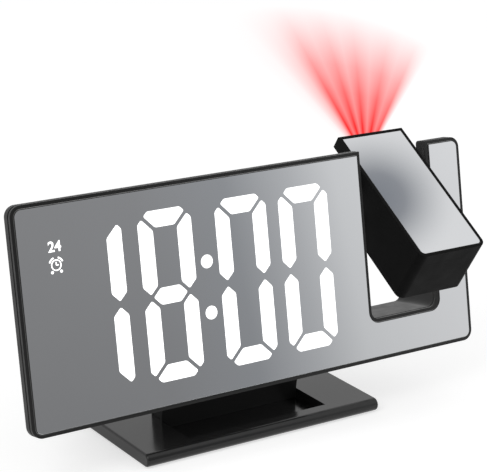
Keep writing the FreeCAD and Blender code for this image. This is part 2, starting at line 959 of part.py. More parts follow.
def coin_cell():
    """Backup cell: a wide can with a narrower cap towards the contact."""
    back = holder_back() - cell_room
    can = disc(cell_radius, 0.0, cell_height, back - cell_thick + cell_cap_step, back)
    cap = disc(cell_radius - cell_cap_inset, 0.0, cell_height, back - cell_thick,
               back - cell_thick + cell_cap_step + bite)
    return joined([can, cap])


def door_outline(grow):
    """Outline of the battery door, grown by grow."""
    half = door_width / 2 + grow
    return box_corners(-half, half, door_low - grow, door_high + grow, door_round + grow)


def cell_window():
    """Outline of the opening behind the battery door."""
    half = door_width / 2 - door_ledge
    return box_corners(-half, half, door_low + door_ledge, cell_height + half, holder_corner)


def door_screw_spot():
    """Centre of the battery door's screw."""
    return 0.0, (cell_height + door_width / 2 - door_ledge + door_high) / 2


def battery_door():
    """Flush door with a pad that keeps the cell in its pocket."""
    door = prism(door_outline(0.0), pod_depth - door_thick, pod_depth)
    pad = disc(door_press_radius, 0.0, cell_height, holder_back() - door_pad_gap,
               pod_depth - door_thick + bite)
    door = door.fuse(pad)
    x, height = door_screw_spot()
    door = door.cut(disc(small_shank + shank_gap, x, height, pod_inner - past, pod_depth + past))
    return door.removeSplitter()


# Screws

def pan_screw(x, height, seat, length, head, head_height, shank):
    """Screw driven from behind: slotted round head on its seat, shank running forward."""
    screw = faceted(head, head_sides, x, height, seat, seat + head_height)
    half = head * slot_share
    screw = screw.cut(block(x - half, x + half, seat + head_height - slot_depth,
                            seat + head_height + past, height - slot_width / 2, height + slot_width / 2))
    return screw.fuse(faceted(shank, shank_sides, x, height, seat - length, seat + bite))


def housing_screws():
    """Screws that hold the rear shell to the frame, deep in their wells."""
    seat = boss_end + seat_gap + well_floor
    return Part.makeCompound([pan_screw(x, height, seat, housing_screw_length, screw_head,
                                        screw_head_height, screw_shank) for x, height in screw_spots])


def door_screw():
    """Screw of the battery door."""
    x, height = door_screw_spot()
    return pan_screw(x, height, pod_depth, door_screw_length, small_head, small_head_height, small_shank)


def board_screws():
    """Screws of the two boards."""
    screws = [pan_screw(x, height, display_board_back, display_screw_length, small_head,
                        small_head_height, small_shank) for x, height in display_board_spots]
    for x, height in main_board_spots:
        head = faceted(small_head, head_sides, x, height, main_board_depth - small_head_height,
                       main_board_depth)
        shank = faceted(small_shank, shank_sides, x, height, main_board_depth - bite,
                        main_board_back + board_screw_reach)
        screws.append(head.fuse(shank))
    return Part.makeCompound(screws)


# Pivot

def pivot_sides():
    """Direction into the body and the notch wall's x, for the left and right pivots."""
    return [(-1, notch_left_edge), (1, notch_right_edge)]


def pivot_tube(side, wall, start, end, outer, inner):
    """Tube on the pivot axis, its ends measured from the notch wall into the body."""
    base = Vector(wall + side * start, pivot_depth, pivot_height)
    along = Vector(side, 0, 0)
    tube = Part.makeCylinder(outer, end - start, base, along)
    return tube.cut(Part.makeCylinder(inner, end - start, base, along))


def pivot_bushes():
    """Flanged bushes pressed into the notch walls."""
    pieces = []
    inner = axle_radius + running_gap
    for side, wall in pivot_sides():
        sleeve = pivot_tube(side, wall, 0.0, shell_wall + fit_gap + bite, inner + bush_wall, inner)
        flange = pivot_tube(side, wall, shell_wall + fit_gap,
                            shell_wall + fit_gap + bush_flange, bush_flange_radius, inner)
        pieces.append(joined([sleeve, flange]))
    return Part.makeCompound(pieces)


def friction_washers():
    """Washers that drag on the axle clips so that the block stays where it is put."""
    start = shell_wall + bush_flange + 2 * fit_gap
    return Part.makeCompound([pivot_tube(side, wall, start, start + washer_thick, washer_radius,
                                         axle_radius + washer_gap) for side, wall in pivot_sides()])


def axle_clips():
    """Clips on the ends of the axles, inside the body."""
    start = shell_wall + bush_flange + washer_thick + 3 * fit_gap
    return Part.makeCompound([pivot_tube(side, wall, start, start + clip_thick, clip_radius,
                                         axle_radius + clip_gap) for side, wall in pivot_sides()])


def projector_axles():
    """Hollow flanged axles that carry the block; the leads pass through them."""
    inside = -(side_gap + block_wall + fit_gap)
    pieces = []
    for side, wall in pivot_sides():
        flange = pivot_tube(side, wall, inside - axle_flange, inside, axle_flange_radius, axle_bore)
        tube = pivot_tube(side, wall, inside - bite, axle_end, axle_radius, axle_bore)
        pieces.append(joined([flange, tube]))
    return Part.makeCompound(pieces)


# Projector block

def slab_outline(inset):
    """Outline of the block's front slab: rounded at its lower end, square at its upper end."""
    low = max(block_corner - inset, least_corner)
    return [(block_left + inset, block_bottom + inset, low),
            (block_right - inset, block_bottom + inset, low),
            (block_right - inset, block_top - inset, 0.0),
            (block_left + inset, block_top - inset, 0.0)]


def rear_outline(inset):
    """Outline of the block's rear shell, which stops short of the slab's upper end."""
    low = max(block_corner - inset, least_corner)
    return [(block_left + inset, block_bottom + inset, low),
            (block_right - inset, block_bottom + inset, low),
            (block_right - inset, block_shoulder - inset, 0.0),
            (block_left + inset, block_shoulder - inset, 0.0)]


def block_screw_spots():
    """Centres of the four screws that hold the block together."""
    return [(x, block_bottom + rise) for x in (block_left + block_screw_inset,
                                               block_right - block_screw_inset)
            for rise in block_screw_rises]


def projector_mirror():
    """Mirror panel on the front of the projector block."""
    panel = prism(slab_outline(panel_inset - panel_gap), 0.0, panel_back)
    return round_edges(panel, panel_round, lambda edge: at_depth(edge, 0.0))


def projector_frame():
    """Front slab of the block, with the panel's seat, bosses and a closed upper end."""
    slab = prism(slab_outline(0.0), 0.0, block_slab)
    slab = slab.cut(prism(slab_outline(panel_inset - 2 * panel_gap), -past, panel_back))
    slab = slab.cut(prism(rear_outline(block_wall), floor_back, block_slab + past))
    for x, height in block_screw_spots():
        slab = slab.fuse(disc(small_boss, x, height, panel_back + bite, block_thick / 2))
        slab = slab.cut(disc(small_shank + fit_gap, x, height, floor_back, block_thick / 2 + past))
    return slab.removeSplitter()


def projector_housing():
    """Rear shell of the block with the lens opening, the axle holes and the screw wells."""
    shell = prism(rear_outline(0.0), block_slab, block_thick)
    shell = bevel_edges(shell, block_bevel, lambda edge: at_depth(edge, block_thick))
    shell = shell.cut(prism(rear_outline(block_wall), block_slab - past, block_thick - block_wall))
    for x, height in block_screw_spots():
        seat = block_thick / 2 + seat_gap
        shell = shell.fuse(disc(small_head + well_wall, x, height, seat,
                                block_thick - block_wall + bite))
    for x, height in block_screw_spots():
        seat = block_thick / 2 + seat_gap
        shell = shell.cut(disc(small_head + head_gap, x, height, seat + block_seat,
                               block_thick + past))
        shell = shell.cut(disc(small_shank + shank_gap, x, height, seat - past,
                               seat + block_seat + bite))
    shell = shell.cut(pillar(barrel_radius + barrel_gap, block_middle, optic_depth,
                             block_shoulder - block_wall - past, block_shoulder + past))
    axle_hole = Part.makeCylinder(axle_radius + fit_gap, block_width + 2 * past,
                                  Vector(block_left - past, pivot_depth, pivot_height), Vector(1, 0, 0))
    return shell.cut(axle_hole).removeSplitter()


def projector_screws():
    """Screws that hold the block's two halves together."""
    seat = block_thick / 2 + seat_gap + block_seat
    return Part.makeCompound([pan_screw(x, height, seat, block_screw_length, small_head,
                                        small_head_height, small_shank)
                               for x, height in block_screw_spots()])


def tube_solid(outer, inner, low, high):
    """Upright tube on the optical axis."""
    tube = pillar(outer, block_middle, optic_depth, low, high)
    return tube.cut(pillar(inner, block_middle, optic_depth, low - past, high + past))


def led_board():
    """Board across the foot of the block that carries the light source."""
    low = block_bottom + block_wall + led_board_lift
    return block(block_left + block_wall + seat_gap, block_right - block_wall - seat_gap,
                 block_slab + seat_gap, block_thick - block_wall - seat_gap, low, low + led_board_thick)


def light_emitter():
    """Light source on its board."""
    low = tube_foot
    base = block(block_middle - emitter_side / 2, block_middle + emitter_side / 2,
                 optic_depth - emitter_side / 2, optic_depth + emitter_side / 2, low, low + emitter_height)
    dome = Part.makeCone(dome_foot_radius, dome_top_radius, dome_height,
                         Vector(block_middle, optic_depth, low + emitter_height), Vector(0, 0, 1))
    return base.fuse(dome)


def optics_tube():
    """Tube that holds the condenser and the image slide over the light source."""
    tube = tube_solid(tube_radius, tube_radius - tube_wall, tube_foot, tube_head)
    seat = tube_solid(tube_radius - bite, tube_radius - tube_wall - tube_seat_ledge,
                      tube_foot + condenser_lift - tube_seat_thick, tube_foot + condenser_lift)
    rest = tube_solid(tube_radius - bite, slide_window_radius,
                      tube_foot + slide_lift - tube_seat_thick, tube_foot + slide_lift)
    return tube.fuse([seat, rest]).removeSplitter()


def bulged_lens(radius, rim, low_bulge, high_bulge, low):
    """Round lens on the optical axis: a rim with a low dome, in a few rings, on each end."""
    top = low + rim
    outline = [(0.0, low - low_bulge)] if low_bulge > 0 else [(0.0, low)]
    outline += [(out, low - rise) for out, rise in dome_rings(radius, low_bulge)]
    outline += [(radius, low), (radius, top)]
    outline += [(out, top + rise) for out, rise in reversed(dome_rings(radius, high_bulge))]
    outline += [(0.0, top + high_bulge)]
    points = [Vector(out, 0, level) for out, level in outline]
    lens = Part.Face(Part.makePolygon(points + [points[0]]))
    lens = lens.revolve(Vector(0, 0, 0), Vector(0, 0, 1), 360)
    lens.translate(Vector(block_middle, optic_depth, 0))
    return lens


def dome_rings(radius, bulge):
    """Radius and rise of the rings of a spherical dome, from its crown towards its rim."""
    if bulge <= 0:
        return []
    ball = (radius * radius + bulge * bulge) / (2 * bulge)
    rings = []
    for i in range(1, lens_rings):
        out = radius * i / lens_rings
        rings.append((out, math.sqrt(ball * ball - out * out) - (ball - bulge)))
    return rings


def condenser_lens():
    """Lens that gathers the light on the slide."""
    return bulged_lens(tube_radius - tube_wall - fit_gap, condenser_thick - condenser_bulge, 0.0,
                       condenser_bulge, tube_foot + condenser_lift)


def image_slide():
    """Small display slide that forms the projected digits."""
    half = slide_side / 2
    low = tube_foot + slide_lift
    return block(block_middle - half, block_middle + half, optic_depth - half, optic_depth + half,
                 low, low + slide_thick)


def lens_barrel():
    """Fixed barrel that leads the focus ring's tube through the block's upper end."""
    barrel = tube_solid(barrel_radius, barrel_radius - barrel_wall, tube_head, barrel_top)
    flange = tube_solid(tube_radius, barrel_radius - barrel_wall, tube_head, tube_head + barrel_flange)
    return joined([barrel, flange])


def focus_ring():
    """Grooved ring that turns round the barrel, with the tube that carries the lens."""
    tube_outer = barrel_radius - barrel_wall - running_gap
    points = []
    for i in range(4 * ring_groove_count):
        angle = 2 * math.pi * i / (4 * ring_groove_count)
        radius = ring_radius if i % 4 in (1, 2) else ring_radius - ring_groove
        points.append(Vector(block_middle + radius * math.cos(angle),
                             optic_depth + radius * math.sin(angle), ring_foot))
    outline = Part.Face(Part.makePolygon(points + [points[0]]))
    ring = outline.extrude(Vector(0, 0, ring_height - ring_lip))
    lip = pillar(ring_radius - ring_groove, block_middle, optic_depth, ring_top - ring_lip - bite,
                 ring_top)
    ring = ring.fuse(lip)
    ring = ring.cut(pillar(barrel_radius + running_gap, block_middle, optic_depth,
                           ring_foot - past, ring_top - ring_cap))
    tube = pillar(tube_outer, block_middle, optic_depth, ring_top - ring_tube_length,
                  ring_top - bite)
    ring = ring.fuse(tube)
    ring = ring.cut(pillar(tube_outer - ring_tube_wall, block_middle, optic_depth,
                           ring_top - ring_tube_length - past, ring_top + past))
    return ring.removeSplitter()


def projection_lens():
    """Lens at the mouth of the focus ring."""
    radius = barrel_radius - barrel_wall - running_gap - ring_tube_wall - fit_gap
    low = ring_top - lens_inset - lens_thick
    return bulged_lens(radius, lens_thick - 2 * lens_bulge, lens_bulge, lens_bulge, low + lens_bulge)


# Foot

def stand_plate():
    """Flat foot: half-round front edge, rounded sides, a pocket and the neck's seat."""
    half = plate_width / 2
    front = plate_front
    back = plate_front + plate_depth
    nose = (plate_top - plate_bottom) / 2
    middle = (plate_top + plate_bottom) / 2
    top_edge = Part.LineSegment(Vector(-half, front + nose, plate_top), Vector(-half, back, plate_top))
    back_edge = Part.LineSegment(Vector(-half, back, plate_top), Vector(-half, back, plate_bottom))
    low_edge = Part.LineSegment(Vector(-half, back, plate_bottom),
                                Vector(-half, front + nose, plate_bottom))
    round_edge = Part.Arc(Vector(-half, front + nose, plate_bottom), Vector(-half, front, middle),
                          Vector(-half, front + nose, plate_top))
    profile = Part.Wire([curve.toShape() for curve in (top_edge, back_edge, low_edge, round_edge)])
    plate = Part.Face(profile).extrude(Vector(plate_width, 0, 0))
    rear_corners = [edge for edge in plate.Edges if edge.BoundBox.YMin > back - same_place
                    and edge.BoundBox.XLength < same_place]
    plate = plate.makeFillet(plate_corner, rear_corners)
    rim = [edge for edge in plate.Edges if edge.BoundBox.ZMin > plate_top - same_place
           and (edge.BoundBox.XLength < plate_width - same_place
                or edge.BoundBox.YMin > back - same_place)
           and edge.BoundBox.YMax > front + nose + same_place]
    plate = plate.makeFillet(plate_side_round, rim)
    plate = plate.cut(block(-pocket_width / 2, pocket_width / 2, front + pocket_front,
                            front + pocket_back + neck_thick + neck_gap, pocket_floor,
                            plate_top + past))
    pad = pad_corners(neck_gap)
    recess = rounded_floor(pad, plate_bottom - past, plate_bottom + pad_recess)
    plate = plate.cut(recess)
    for x, y in plate_screw_spots():
        cone = Part.makeCone(screw_head + seat_gap, screw_shank + shank_gap, sink_depth,
                             Vector(x, y, plate_bottom + pad_recess), Vector(0, 0, 1))
        plate = plate.cut(cone)
        plate = plate.cut(Part.makeCylinder(screw_shank + shank_gap, plate_top, Vector(x, y, 0)))
    return plate.removeSplitter()


def pad_corners(grow):
    """Corners of the pad under the foot, grown by grow, as (x, y, radius)."""
    half = pad_width / 2 + grow
    deep = pad_depth / 2 + grow
    return [(-half, -deep, pad_corner), (half, -deep, pad_corner), (half, deep, pad_corner),
            (-half, deep, pad_corner)]


def rounded_floor(corners, low, high):
    """Solid with a rounded outline in plan between two heights."""
    face = rounded_face(corners, 0.0)
    solid = face.extrude(Vector(0, high - low, 0))
    solid.rotate(Vector(0, 0, 0), Vector(1, 0, 0), 90)
    mirror = solid.mirror(Vector(0, 0, 0), Vector(0, 1, 0))
    mirror.translate(Vector(0, 0, low))
    return mirror


def base_pad():
    """Anti-slip pad under the foot; the clock stands on it."""
    return rounded_floor(pad_corners(0.0), 0.0, plate_bottom + pad_recess)


def plate_screw_spots():
    """Centres of the two screws up through the foot into the neck."""
    y = plate_front + pocket_back + neck_thick / 2
    return [(-stand_screw_spread / 2, y), (stand_screw_spread / 2, y)]


def neck_outline():
    """Side outline of the neck from the pocket's floor to the pod's underside, as (y, z)."""
    front = plate_front + pocket_back
    back = front + neck_thick
    top_front = body_point(neck_top_depth, hump_bottom)
    top_back = body_point(neck_top_depth + neck_shoulder, hump_bottom)
    shoulder = plate_top + neck_foot_rise
    return [(front, pocket_floor), (back, pocket_floor), (back, shoulder), top_back, top_front,
            (front, shoulder)]


def tongue_block(grow, low, high):
    """The neck's tongue in the body's directions, grown by grow."""
    middle = neck_top_depth + neck_shoulder / 2
    half = tongue_width / 2 + grow
    return block(-half, half, middle - tongue_thick / 2 - grow, middle + tongue_thick / 2 + grow,
                 low, high)


def neck_slot():
    """Slot in the pod's underside that takes the neck's tongue."""
    return tongue_block(neck_gap, hump_bottom - past, hump_bottom + shell_wall + past)


def neck_screw_xs():
    """Places across the clock of the screws through the pod's back into the tongue."""
    return (-stand_screw_spread / 2, stand_screw_spread / 2)


def neck_screw_height():
    """Height of those screws up the face."""
    return hump_bottom + neck_screw_rise


def stand_neck():
    """Upright between the foot and the body, with a tongue into the pod."""
    half = pocket_width / 2 - neck_gap
    points = [Vector(-half, y, z) for y, z in neck_outline()]
    profile = Part.makePolygon(points + [points[0]])
    neck = Part.Face(profile).extrude(Vector(2 * half, 0, 0))
    tongue = tongue_block(0.0, hump_bottom - bite, hump_bottom + tongue_rise)
    for x in neck_screw_xs():
        tongue_back = neck_top_depth + neck_shoulder / 2 + tongue_thick / 2
        tongue = tongue.fuse(disc(small_boss, x, neck_screw_height(), tongue_back - bite,
                                  pod_inner - seat_gap))
        tongue = tongue.cut(disc(small_shank + fit_gap, x, neck_screw_height(),
                                 tongue_back - tongue_thick + bite, pod_depth))
    neck = neck.fuse(lean_body(tongue))
    for x, y in plate_screw_spots():
        neck = neck.cut(Part.makeCylinder(screw_shank + fit_gap, stand_screw_length + past,
                                          Vector(x, y, pocket_floor - past)))
    return neck.removeSplitter()


def stand_screws():
    """Two screws up through the foot and two through the pod's back."""
    pieces = []
    for x, y in plate_screw_spots():
        low = plate_bottom + pad_recess + fit_gap
        head = Part.makeCone(screw_head, screw_shank, sink_depth - fit_gap, Vector(x, y, low),
                             Vector(0, 0, 1))
        shank = Part.makeCylinder(screw_shank - fit_gap, stand_screw_length, Vector(x, y, low))
        pieces.append(joined([head, shank]))
    for x in neck_screw_xs():
        pieces.append(lean_body(pan_screw(x, neck_screw_height(), pod_depth, neck_screw_length, small_head,
                                          small_head_height, small_shank)))
    return Part.makeCompound(pieces)


# Build and save every sub-part

body_parts = {
    "front_mirror": front_mirror,
    "front_frame": front_frame,
    "rear_housing": rear_housing,
    "segment_mask": segment_mask,
    "segment_diffusers": segment_diffusers,
    "display_board": display_board,
    "segment_leds": segment_leds,
    "main_board": main_board,
    "board_header": board_header,
    "board_chips": board_chips,
    "board_screws": board_screws,
    "tact_switches": tact_switches,
    "buzzer": buzzer,
    "power_socket": power_socket,
    "cell_holder": cell_holder,
    "cell_contacts": cell_contacts,
    "coin_cell": coin_cell,
    "battery_door": battery_door,
    "door_screw": door_screw,
    "housing_screws": housing_screws,
    "pivot_bushes": pivot_bushes,
    "friction_washers": friction_washers,
    "snooze_button": snooze_button,
}
projector_parts = {
    "projector_mirror": projector_mirror,
    "projector_frame": projector_frame,
    "projector_housing": projector_housing,
    "projector_axles": projector_axles,
    "axle_clips": axle_clips,
    "projector_screws": projector_screws,
    "led_board": led_board,
    "light_emitter": light_emitter,
    "optics_tube": optics_tube,
    "condenser_lens": condenser_lens,
    "image_slide": image_slide,
    "lens_barrel": lens_barrel,
    "focus_ring": focus_ring,
    "projection_lens": projection_lens,
}
foot_parts = {
    "stand_plate": stand_plate,
    "stand_neck": stand_neck,
    "stand_screws": stand_screws,
    "base_pad": base_pad,
}
button_names = ("set_button", "up_button", "down_button", "alarm_button")

shapes = {}
for name, make in body_parts.items():
    shapes[name] = lean_body(make())
for name, x in zip(button_names, button_xs):
    shapes[name] = lean_body(round_button(x))
for name, make in projector_parts.items():
    shapes[name] = tilt_projector(make())
for name, make in foot_parts.items():
    shapes[name] = make()

os.makedirs("parts", exist_ok=True)
for name, shape in shapes.items():
    shape.exportStep("parts/" + name + ".step")
    limits = shape.BoundBox
    print(name, len(shape.Solids), "solids", round(shape.Volume, 1), "mm3", shape.isValid(),
          [round(value, 1) for value in (limits.XMin, limits.YMin, limits.ZMin,
                                         limits.XMax, limits.YMax, limits.ZMax)])
print("pivot y z", [round(value, 4) for value in body_point(pivot_depth, pivot_height)])
print("optic axis foot y z", [round(value, 4) for value in body_point(optic_depth, block_top)])
print("notch", round(notch_left_edge, 3), notch_right_edge, "floor", round(notch_floor, 3))
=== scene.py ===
# %% [markdown]
# # Projection alarm clock
# A desk clock whose whole front is one mirror, with lit digits that shine through it, a flat foot,
# and a small projector that tilts in a notch at the right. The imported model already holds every
# piece at its real size, so this lesson does what is left: the finishes, the soft edges, the lit
# signs and a plain studio. All lengths are in metres.
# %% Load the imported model
import json
from math import cos, pi, radians, sin

import bpy
from mathutils import Matrix, Vector

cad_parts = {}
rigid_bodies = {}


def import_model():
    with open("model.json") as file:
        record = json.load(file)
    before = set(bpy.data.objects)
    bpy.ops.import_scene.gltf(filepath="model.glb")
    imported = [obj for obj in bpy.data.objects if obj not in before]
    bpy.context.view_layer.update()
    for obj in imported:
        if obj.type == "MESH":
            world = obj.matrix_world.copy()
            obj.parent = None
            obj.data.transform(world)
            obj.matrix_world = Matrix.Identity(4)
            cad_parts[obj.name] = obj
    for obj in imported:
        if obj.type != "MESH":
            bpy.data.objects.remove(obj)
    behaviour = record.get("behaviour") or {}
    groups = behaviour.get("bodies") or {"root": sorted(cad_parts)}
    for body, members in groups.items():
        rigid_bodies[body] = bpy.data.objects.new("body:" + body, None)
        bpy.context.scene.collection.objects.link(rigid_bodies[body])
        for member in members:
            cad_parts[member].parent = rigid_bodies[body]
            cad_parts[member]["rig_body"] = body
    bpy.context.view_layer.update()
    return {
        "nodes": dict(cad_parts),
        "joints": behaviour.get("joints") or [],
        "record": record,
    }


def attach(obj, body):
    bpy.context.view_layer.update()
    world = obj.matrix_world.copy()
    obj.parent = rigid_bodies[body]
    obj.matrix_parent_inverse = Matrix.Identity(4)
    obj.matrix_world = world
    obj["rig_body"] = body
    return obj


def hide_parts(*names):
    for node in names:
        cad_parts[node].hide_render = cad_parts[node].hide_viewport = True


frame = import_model()
nodes = frame["nodes"]

# %% [markdown]
# ## Small tools
# Operators act on whatever is selected, and the model arrives selected. So each step first
# deselects everything. A finished piece has its place in its mesh, which `apply_place` does.
# %% Selection and finishing helpers


def select_only(*objects):
    """Select just these objects and make the first one active."""
    bpy.ops.object.select_all(action="DESELECT")
    for item in objects:
        item.select_set(True)
    bpy.context.view_layer.objects.active = objects[0] if objects else None


def apply_place(piece, place):
    """Put the piece at a place matrix and move that place into its mesh."""
    piece.matrix_world = place @ piece.matrix_world
    select_only(piece)
    bpy.ops.object.transform_apply(location=True, rotation=True, scale=True)


def apply_modifiers(piece):
    """Apply every modifier of the piece, in order."""
    select_only(piece)
    for modifier in list(piece.modifiers):
        bpy.ops.object.modifier_apply(modifier=modifier.name)


def join_pieces(pieces, name):
    """Make one named piece out of several."""
    select_only(*pieces)
    bpy.ops.object.join()
    joined = bpy.context.object
    joined.name = name
    joined.data.name = name
    return joined


def hide_from(sheet, kinds):
    """Keep a staged sheet out of these kinds of rays."""
    for kind in kinds:
        setattr(sheet, "visible_" + kind, False)


def hand_over(piece, body, finish):
    """Give a finished piece its material and the body it moves with."""
    piece.data.materials.clear()
    piece.data.materials.append(finish)
    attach(piece, body)
    print(piece.name, len(piece.data.polygons), "faces on", body)


# %% [markdown]
# ## Two sets of directions
# The body leans back by 11.5 degrees, and the projector is turned a further 47 degrees about its
# pivot. It is far easier to draw a piece upright and then move it. In the body's own directions x
# runs across, y runs back from the face and z runs up the face. The pivot is known in both sets of
# directions, because the model's tilt joint says where it is, so it ties the two together.
# %% The body's and the projector's places
lean = radians(11.5)
tilt = radians(47.0)
pivot = Vector((0.0, 0.012, 0.0662))
tilt_joint = next(joint for joint in frame["joints"] if joint["name"] == "projector_tilt")
pivot_spot = Vector((0.0, *tilt_joint["pos_m"][1:]))
body_place = (Matrix.Translation(pivot_spot) @ Matrix.Rotation(-lean, 4, "X")
              @ Matrix.Translation(-pivot))
projector_place = (Matrix.Translation(pivot_spot) @ Matrix.Rotation(-lean - tilt, 4, "X")
                   @ Matrix.Translation(-pivot))
lens_top = Vector((0.0635, 0.0142, 0.0763))
lens_spot = projector_place @ lens_top
print("pivot at", [round(c, 5) for c in pivot_spot], "lens at", [round(c, 5) for c in lens_spot])

# %% [markdown]
# ## The camera
# The angle is that of a product shot: from the left, a little above. It was worked out from the
# corners of the face, so the lens is a long one.
# %% Camera
camera_spot = (-0.3628, -0.5425, 0.2795)
camera_turn = radians(34.19)
camera_dip = radians(17.78)
camera_roll = radians(1.46)
camera_data = bpy.data.cameras.new("camera")
camera_data.sensor_width = 36.0
camera_data.lens = 139.89
camera = bpy.data.objects.new("camera", camera_data)
bpy.context.scene.collection.objects.link(camera)
camera.matrix_world = (Matrix.Translation(camera_spot) @ Matrix.Rotation(-camera_turn, 4, "Z")
                       @ Matrix.Rotation(pi / 2 - camera_dip, 4, "X")
                       @ Matrix.Rotation(camera_roll, 4, "Z"))
bpy.context.scene.camera = camera
print("camera lens", camera_data.lens, "mm")

# %% [markdown]
# ## Building blocks for finishes
# Every finish starts from the same three ideas: colour that drifts a little, gloss that drifts a
# little, and a fine relief. Each is a noise texture on Object coordinates, so a pattern keeps its
# real size on every piece. Numbers that are the same everywhere sit on the shader itself.
# %% Node helpers


def new_finish(name):
    """A material with its tree, its shader and the coordinates its patterns read."""
    material = bpy.data.materials.new(name)
    material.use_nodes = True
    tree = material.node_tree
    place = tree.nodes.new("ShaderNodeTexCoord").outputs["Object"]
    return material, tree, tree.nodes["Principled BSDF"], place


def stretched(tree, place, scale):
    """The same coordinates, stretched so that a pattern becomes streaks."""
    mapping = tree.nodes.new("ShaderNodeMapping")
    mapping.inputs["Scale"].default_value = scale
    tree.links.new(place, mapping.inputs["Vector"])
    return mapping.outputs["Vector"]


def noise(tree, place, size, detail=2.0):
    """Noise whose blobs are about size metres wide."""
    texture = tree.nodes.new("ShaderNodeTexNoise")
    texture.inputs["Scale"].default_value = 1.0 / size
    texture.inputs["Detail"].default_value = detail
    tree.links.new(place, texture.inputs["Vector"])
    return texture.outputs["Fac"]


def ramp(tree, factor, stops):
    """Colour that follows a factor through (position, colour) stops."""
    node = tree.nodes.new("ShaderNodeValToRGB")
    elements = node.color_ramp.elements
    while len(elements) < len(stops):
        elements.new(1.0)
    for element, (position, colour) in zip(elements, stops):
        element.position = position
        element.color = (*colour, 1.0)
    tree.links.new(factor, node.inputs["Fac"])
    return node.outputs["Color"]


def between(tree, value, start, end, low, high, smooth=False):
    """A number that goes from low to high while value goes from start to end."""
    level = tree.nodes.new("ShaderNodeMapRange")
    level.interpolation_type = "SMOOTHSTEP" if smooth else "LINEAR"
    for name, number in (("From Min", start), ("From Max", end), ("To Min", low), ("To Max", high)):
        level.inputs[name].default_value = number
    tree.links.new(value, level.inputs["Value"])
    return level.outputs["Result"]


def combine(tree, operation, first, second):
    """Arithmetic on two numbers, each a socket or a plain value."""
    node = tree.nodes.new("ShaderNodeMath")
    node.operation = operation
    for slot, value in zip(node.inputs, (first, second)):
        if isinstance(value, (int, float)):
            slot.default_value = value
        else:
            tree.links.new(value, slot)
    return node.outputs["Value"]


def drift_colour(tree, factor, dark, light, socket):
    """Let a colour drift between two values."""
    tree.links.new(ramp(tree, factor, [(0.3, dark), (0.7, light)]), socket)


def drift_level(tree, factor, low, high, socket):
    """Let a number such as roughness drift between two values."""
    tree.links.new(between(tree, factor, 0.3, 0.7, low, high), socket)


def relief(tree, factor, height, shader):
    """Raise the surface by the factor, height metres at most."""
    bump = tree.nodes.new("ShaderNodeBump")
    bump.inputs["Strength"].default_value = 1.0
    bump.inputs["Distance"].default_value = height
    tree.links.new(factor, bump.inputs["Height"])
    tree.links.new(bump.outputs["Normal"], shader.inputs["Normal"])


def grey(level):
    """A neutral colour."""
    return (level, level, level)


# %% [markdown]
# ## Moulded plastic
# The case is moulded in deep black plastic with a fine spark-eroded skin, so it gives back little
# light and spreads it softly. The foot comes from a polished mould and shows clear reflections.
# One function makes them all from a colour, a gloss, the size of the grain and a shine. The
# projector's block gets a darker, less shiny copy of the case plastic: painted shade for how dark
# the block looks under the light, not a plastic of its own. The mirror panels have blackened edges.
# %% Plastics


def moulded(name, dark, light, smooth, rough, grain, height, shine=0.5):
    """Moulded plastic or rubber."""
    material, tree, shader, place = new_finish(name)
    shader.inputs["Specular IOR Level"].default_value = shine
    drift_colour(tree, noise(tree, place, 0.018), dark, light, shader.inputs["Base Color"])
    drift_level(tree, noise(tree, place, 0.006), smooth, rough, shader.inputs["Roughness"])
    relief(tree, noise(tree, place, grain, 3.0), height, shader)
    return material


finishes = {
    "black_case": moulded("black_case", grey(0.0065), grey(0.0085), 0.40, 0.50, 0.00035, 0.000006,
                          0.30),
    "black_foot": moulded("black_foot", grey(0.0160), grey(0.0190), 0.15, 0.19, 0.0006, 0.0000006,
                          0.32),
    "pad_rubber": moulded("pad_rubber", grey(0.020), grey(0.034), 0.80, 0.95, 0.0006, 0.00003),
    "inner_black": moulded("inner_black", grey(0.016), grey(0.026), 0.50, 0.65, 0.0004, 0.00001,
                           0.3),
    "ring_black": moulded("ring_black", grey(0.012), grey(0.018), 0.45, 0.60, 0.0003, 0.00001, 0.3),
    "button_grey": moulded("button_grey", grey(0.046), grey(0.060), 0.40, 0.52, 0.0003, 0.000008,
                           0.4),
    "bush_nylon": moulded("bush_nylon", (0.74, 0.73, 0.69), (0.82, 0.81, 0.77), 0.40, 0.55,
                          0.0006, 0.00001),
    "lit_white": moulded("diffuser_white", grey(0.86), grey(0.92), 0.45, 0.60, 0.0005, 0.000005),
    "led_white": moulded("led_white", (0.88, 0.87, 0.70), (0.92, 0.91, 0.80), 0.25, 0.35,
                         0.0004, 0.000004),
}
# painted shade: a darker, less shiny copy of the case plastic, so the projector's block looks as
# dark as it does under the light
shaded_block_case = moulded("black_block_shaded", grey(0.0040), grey(0.0055), 0.46, 0.56, 0.00035, 0.000006, 0.04)
mirror_edge = moulded("mirror_edge", grey(0.0060), grey(0.0080), 0.30, 0.40, 0.0008, 0.000002, 0.2)
print(len(finishes) + 2, "plastic finishes")

# %% [markdown]
# ## Metal
# Turned and drawn metal has fine lines that run one way. Stretching the noise coordinates makes
# them, and they steer both the roughness and a very low relief.
# %% Metals
across_lines = (0.1, 1.0, 1.0)


def drawn_metal(name, dark, light, smooth, rough):
    """Metal with fine lines that run across the clock."""
    material, tree, shader, place = new_finish(name)
    shader.inputs["Metallic"].default_value = 1.0
    lines = noise(tree, stretched(tree, place, across_lines), 0.0004, 4.0)
    drift_colour(tree, noise(tree, place, 0.004), dark, light, shader.inputs["Base Color"])
    drift_level(tree, lines, smooth, rough, shader.inputs["Roughness"])
    relief(tree, lines, 0.000004, shader)
    return material


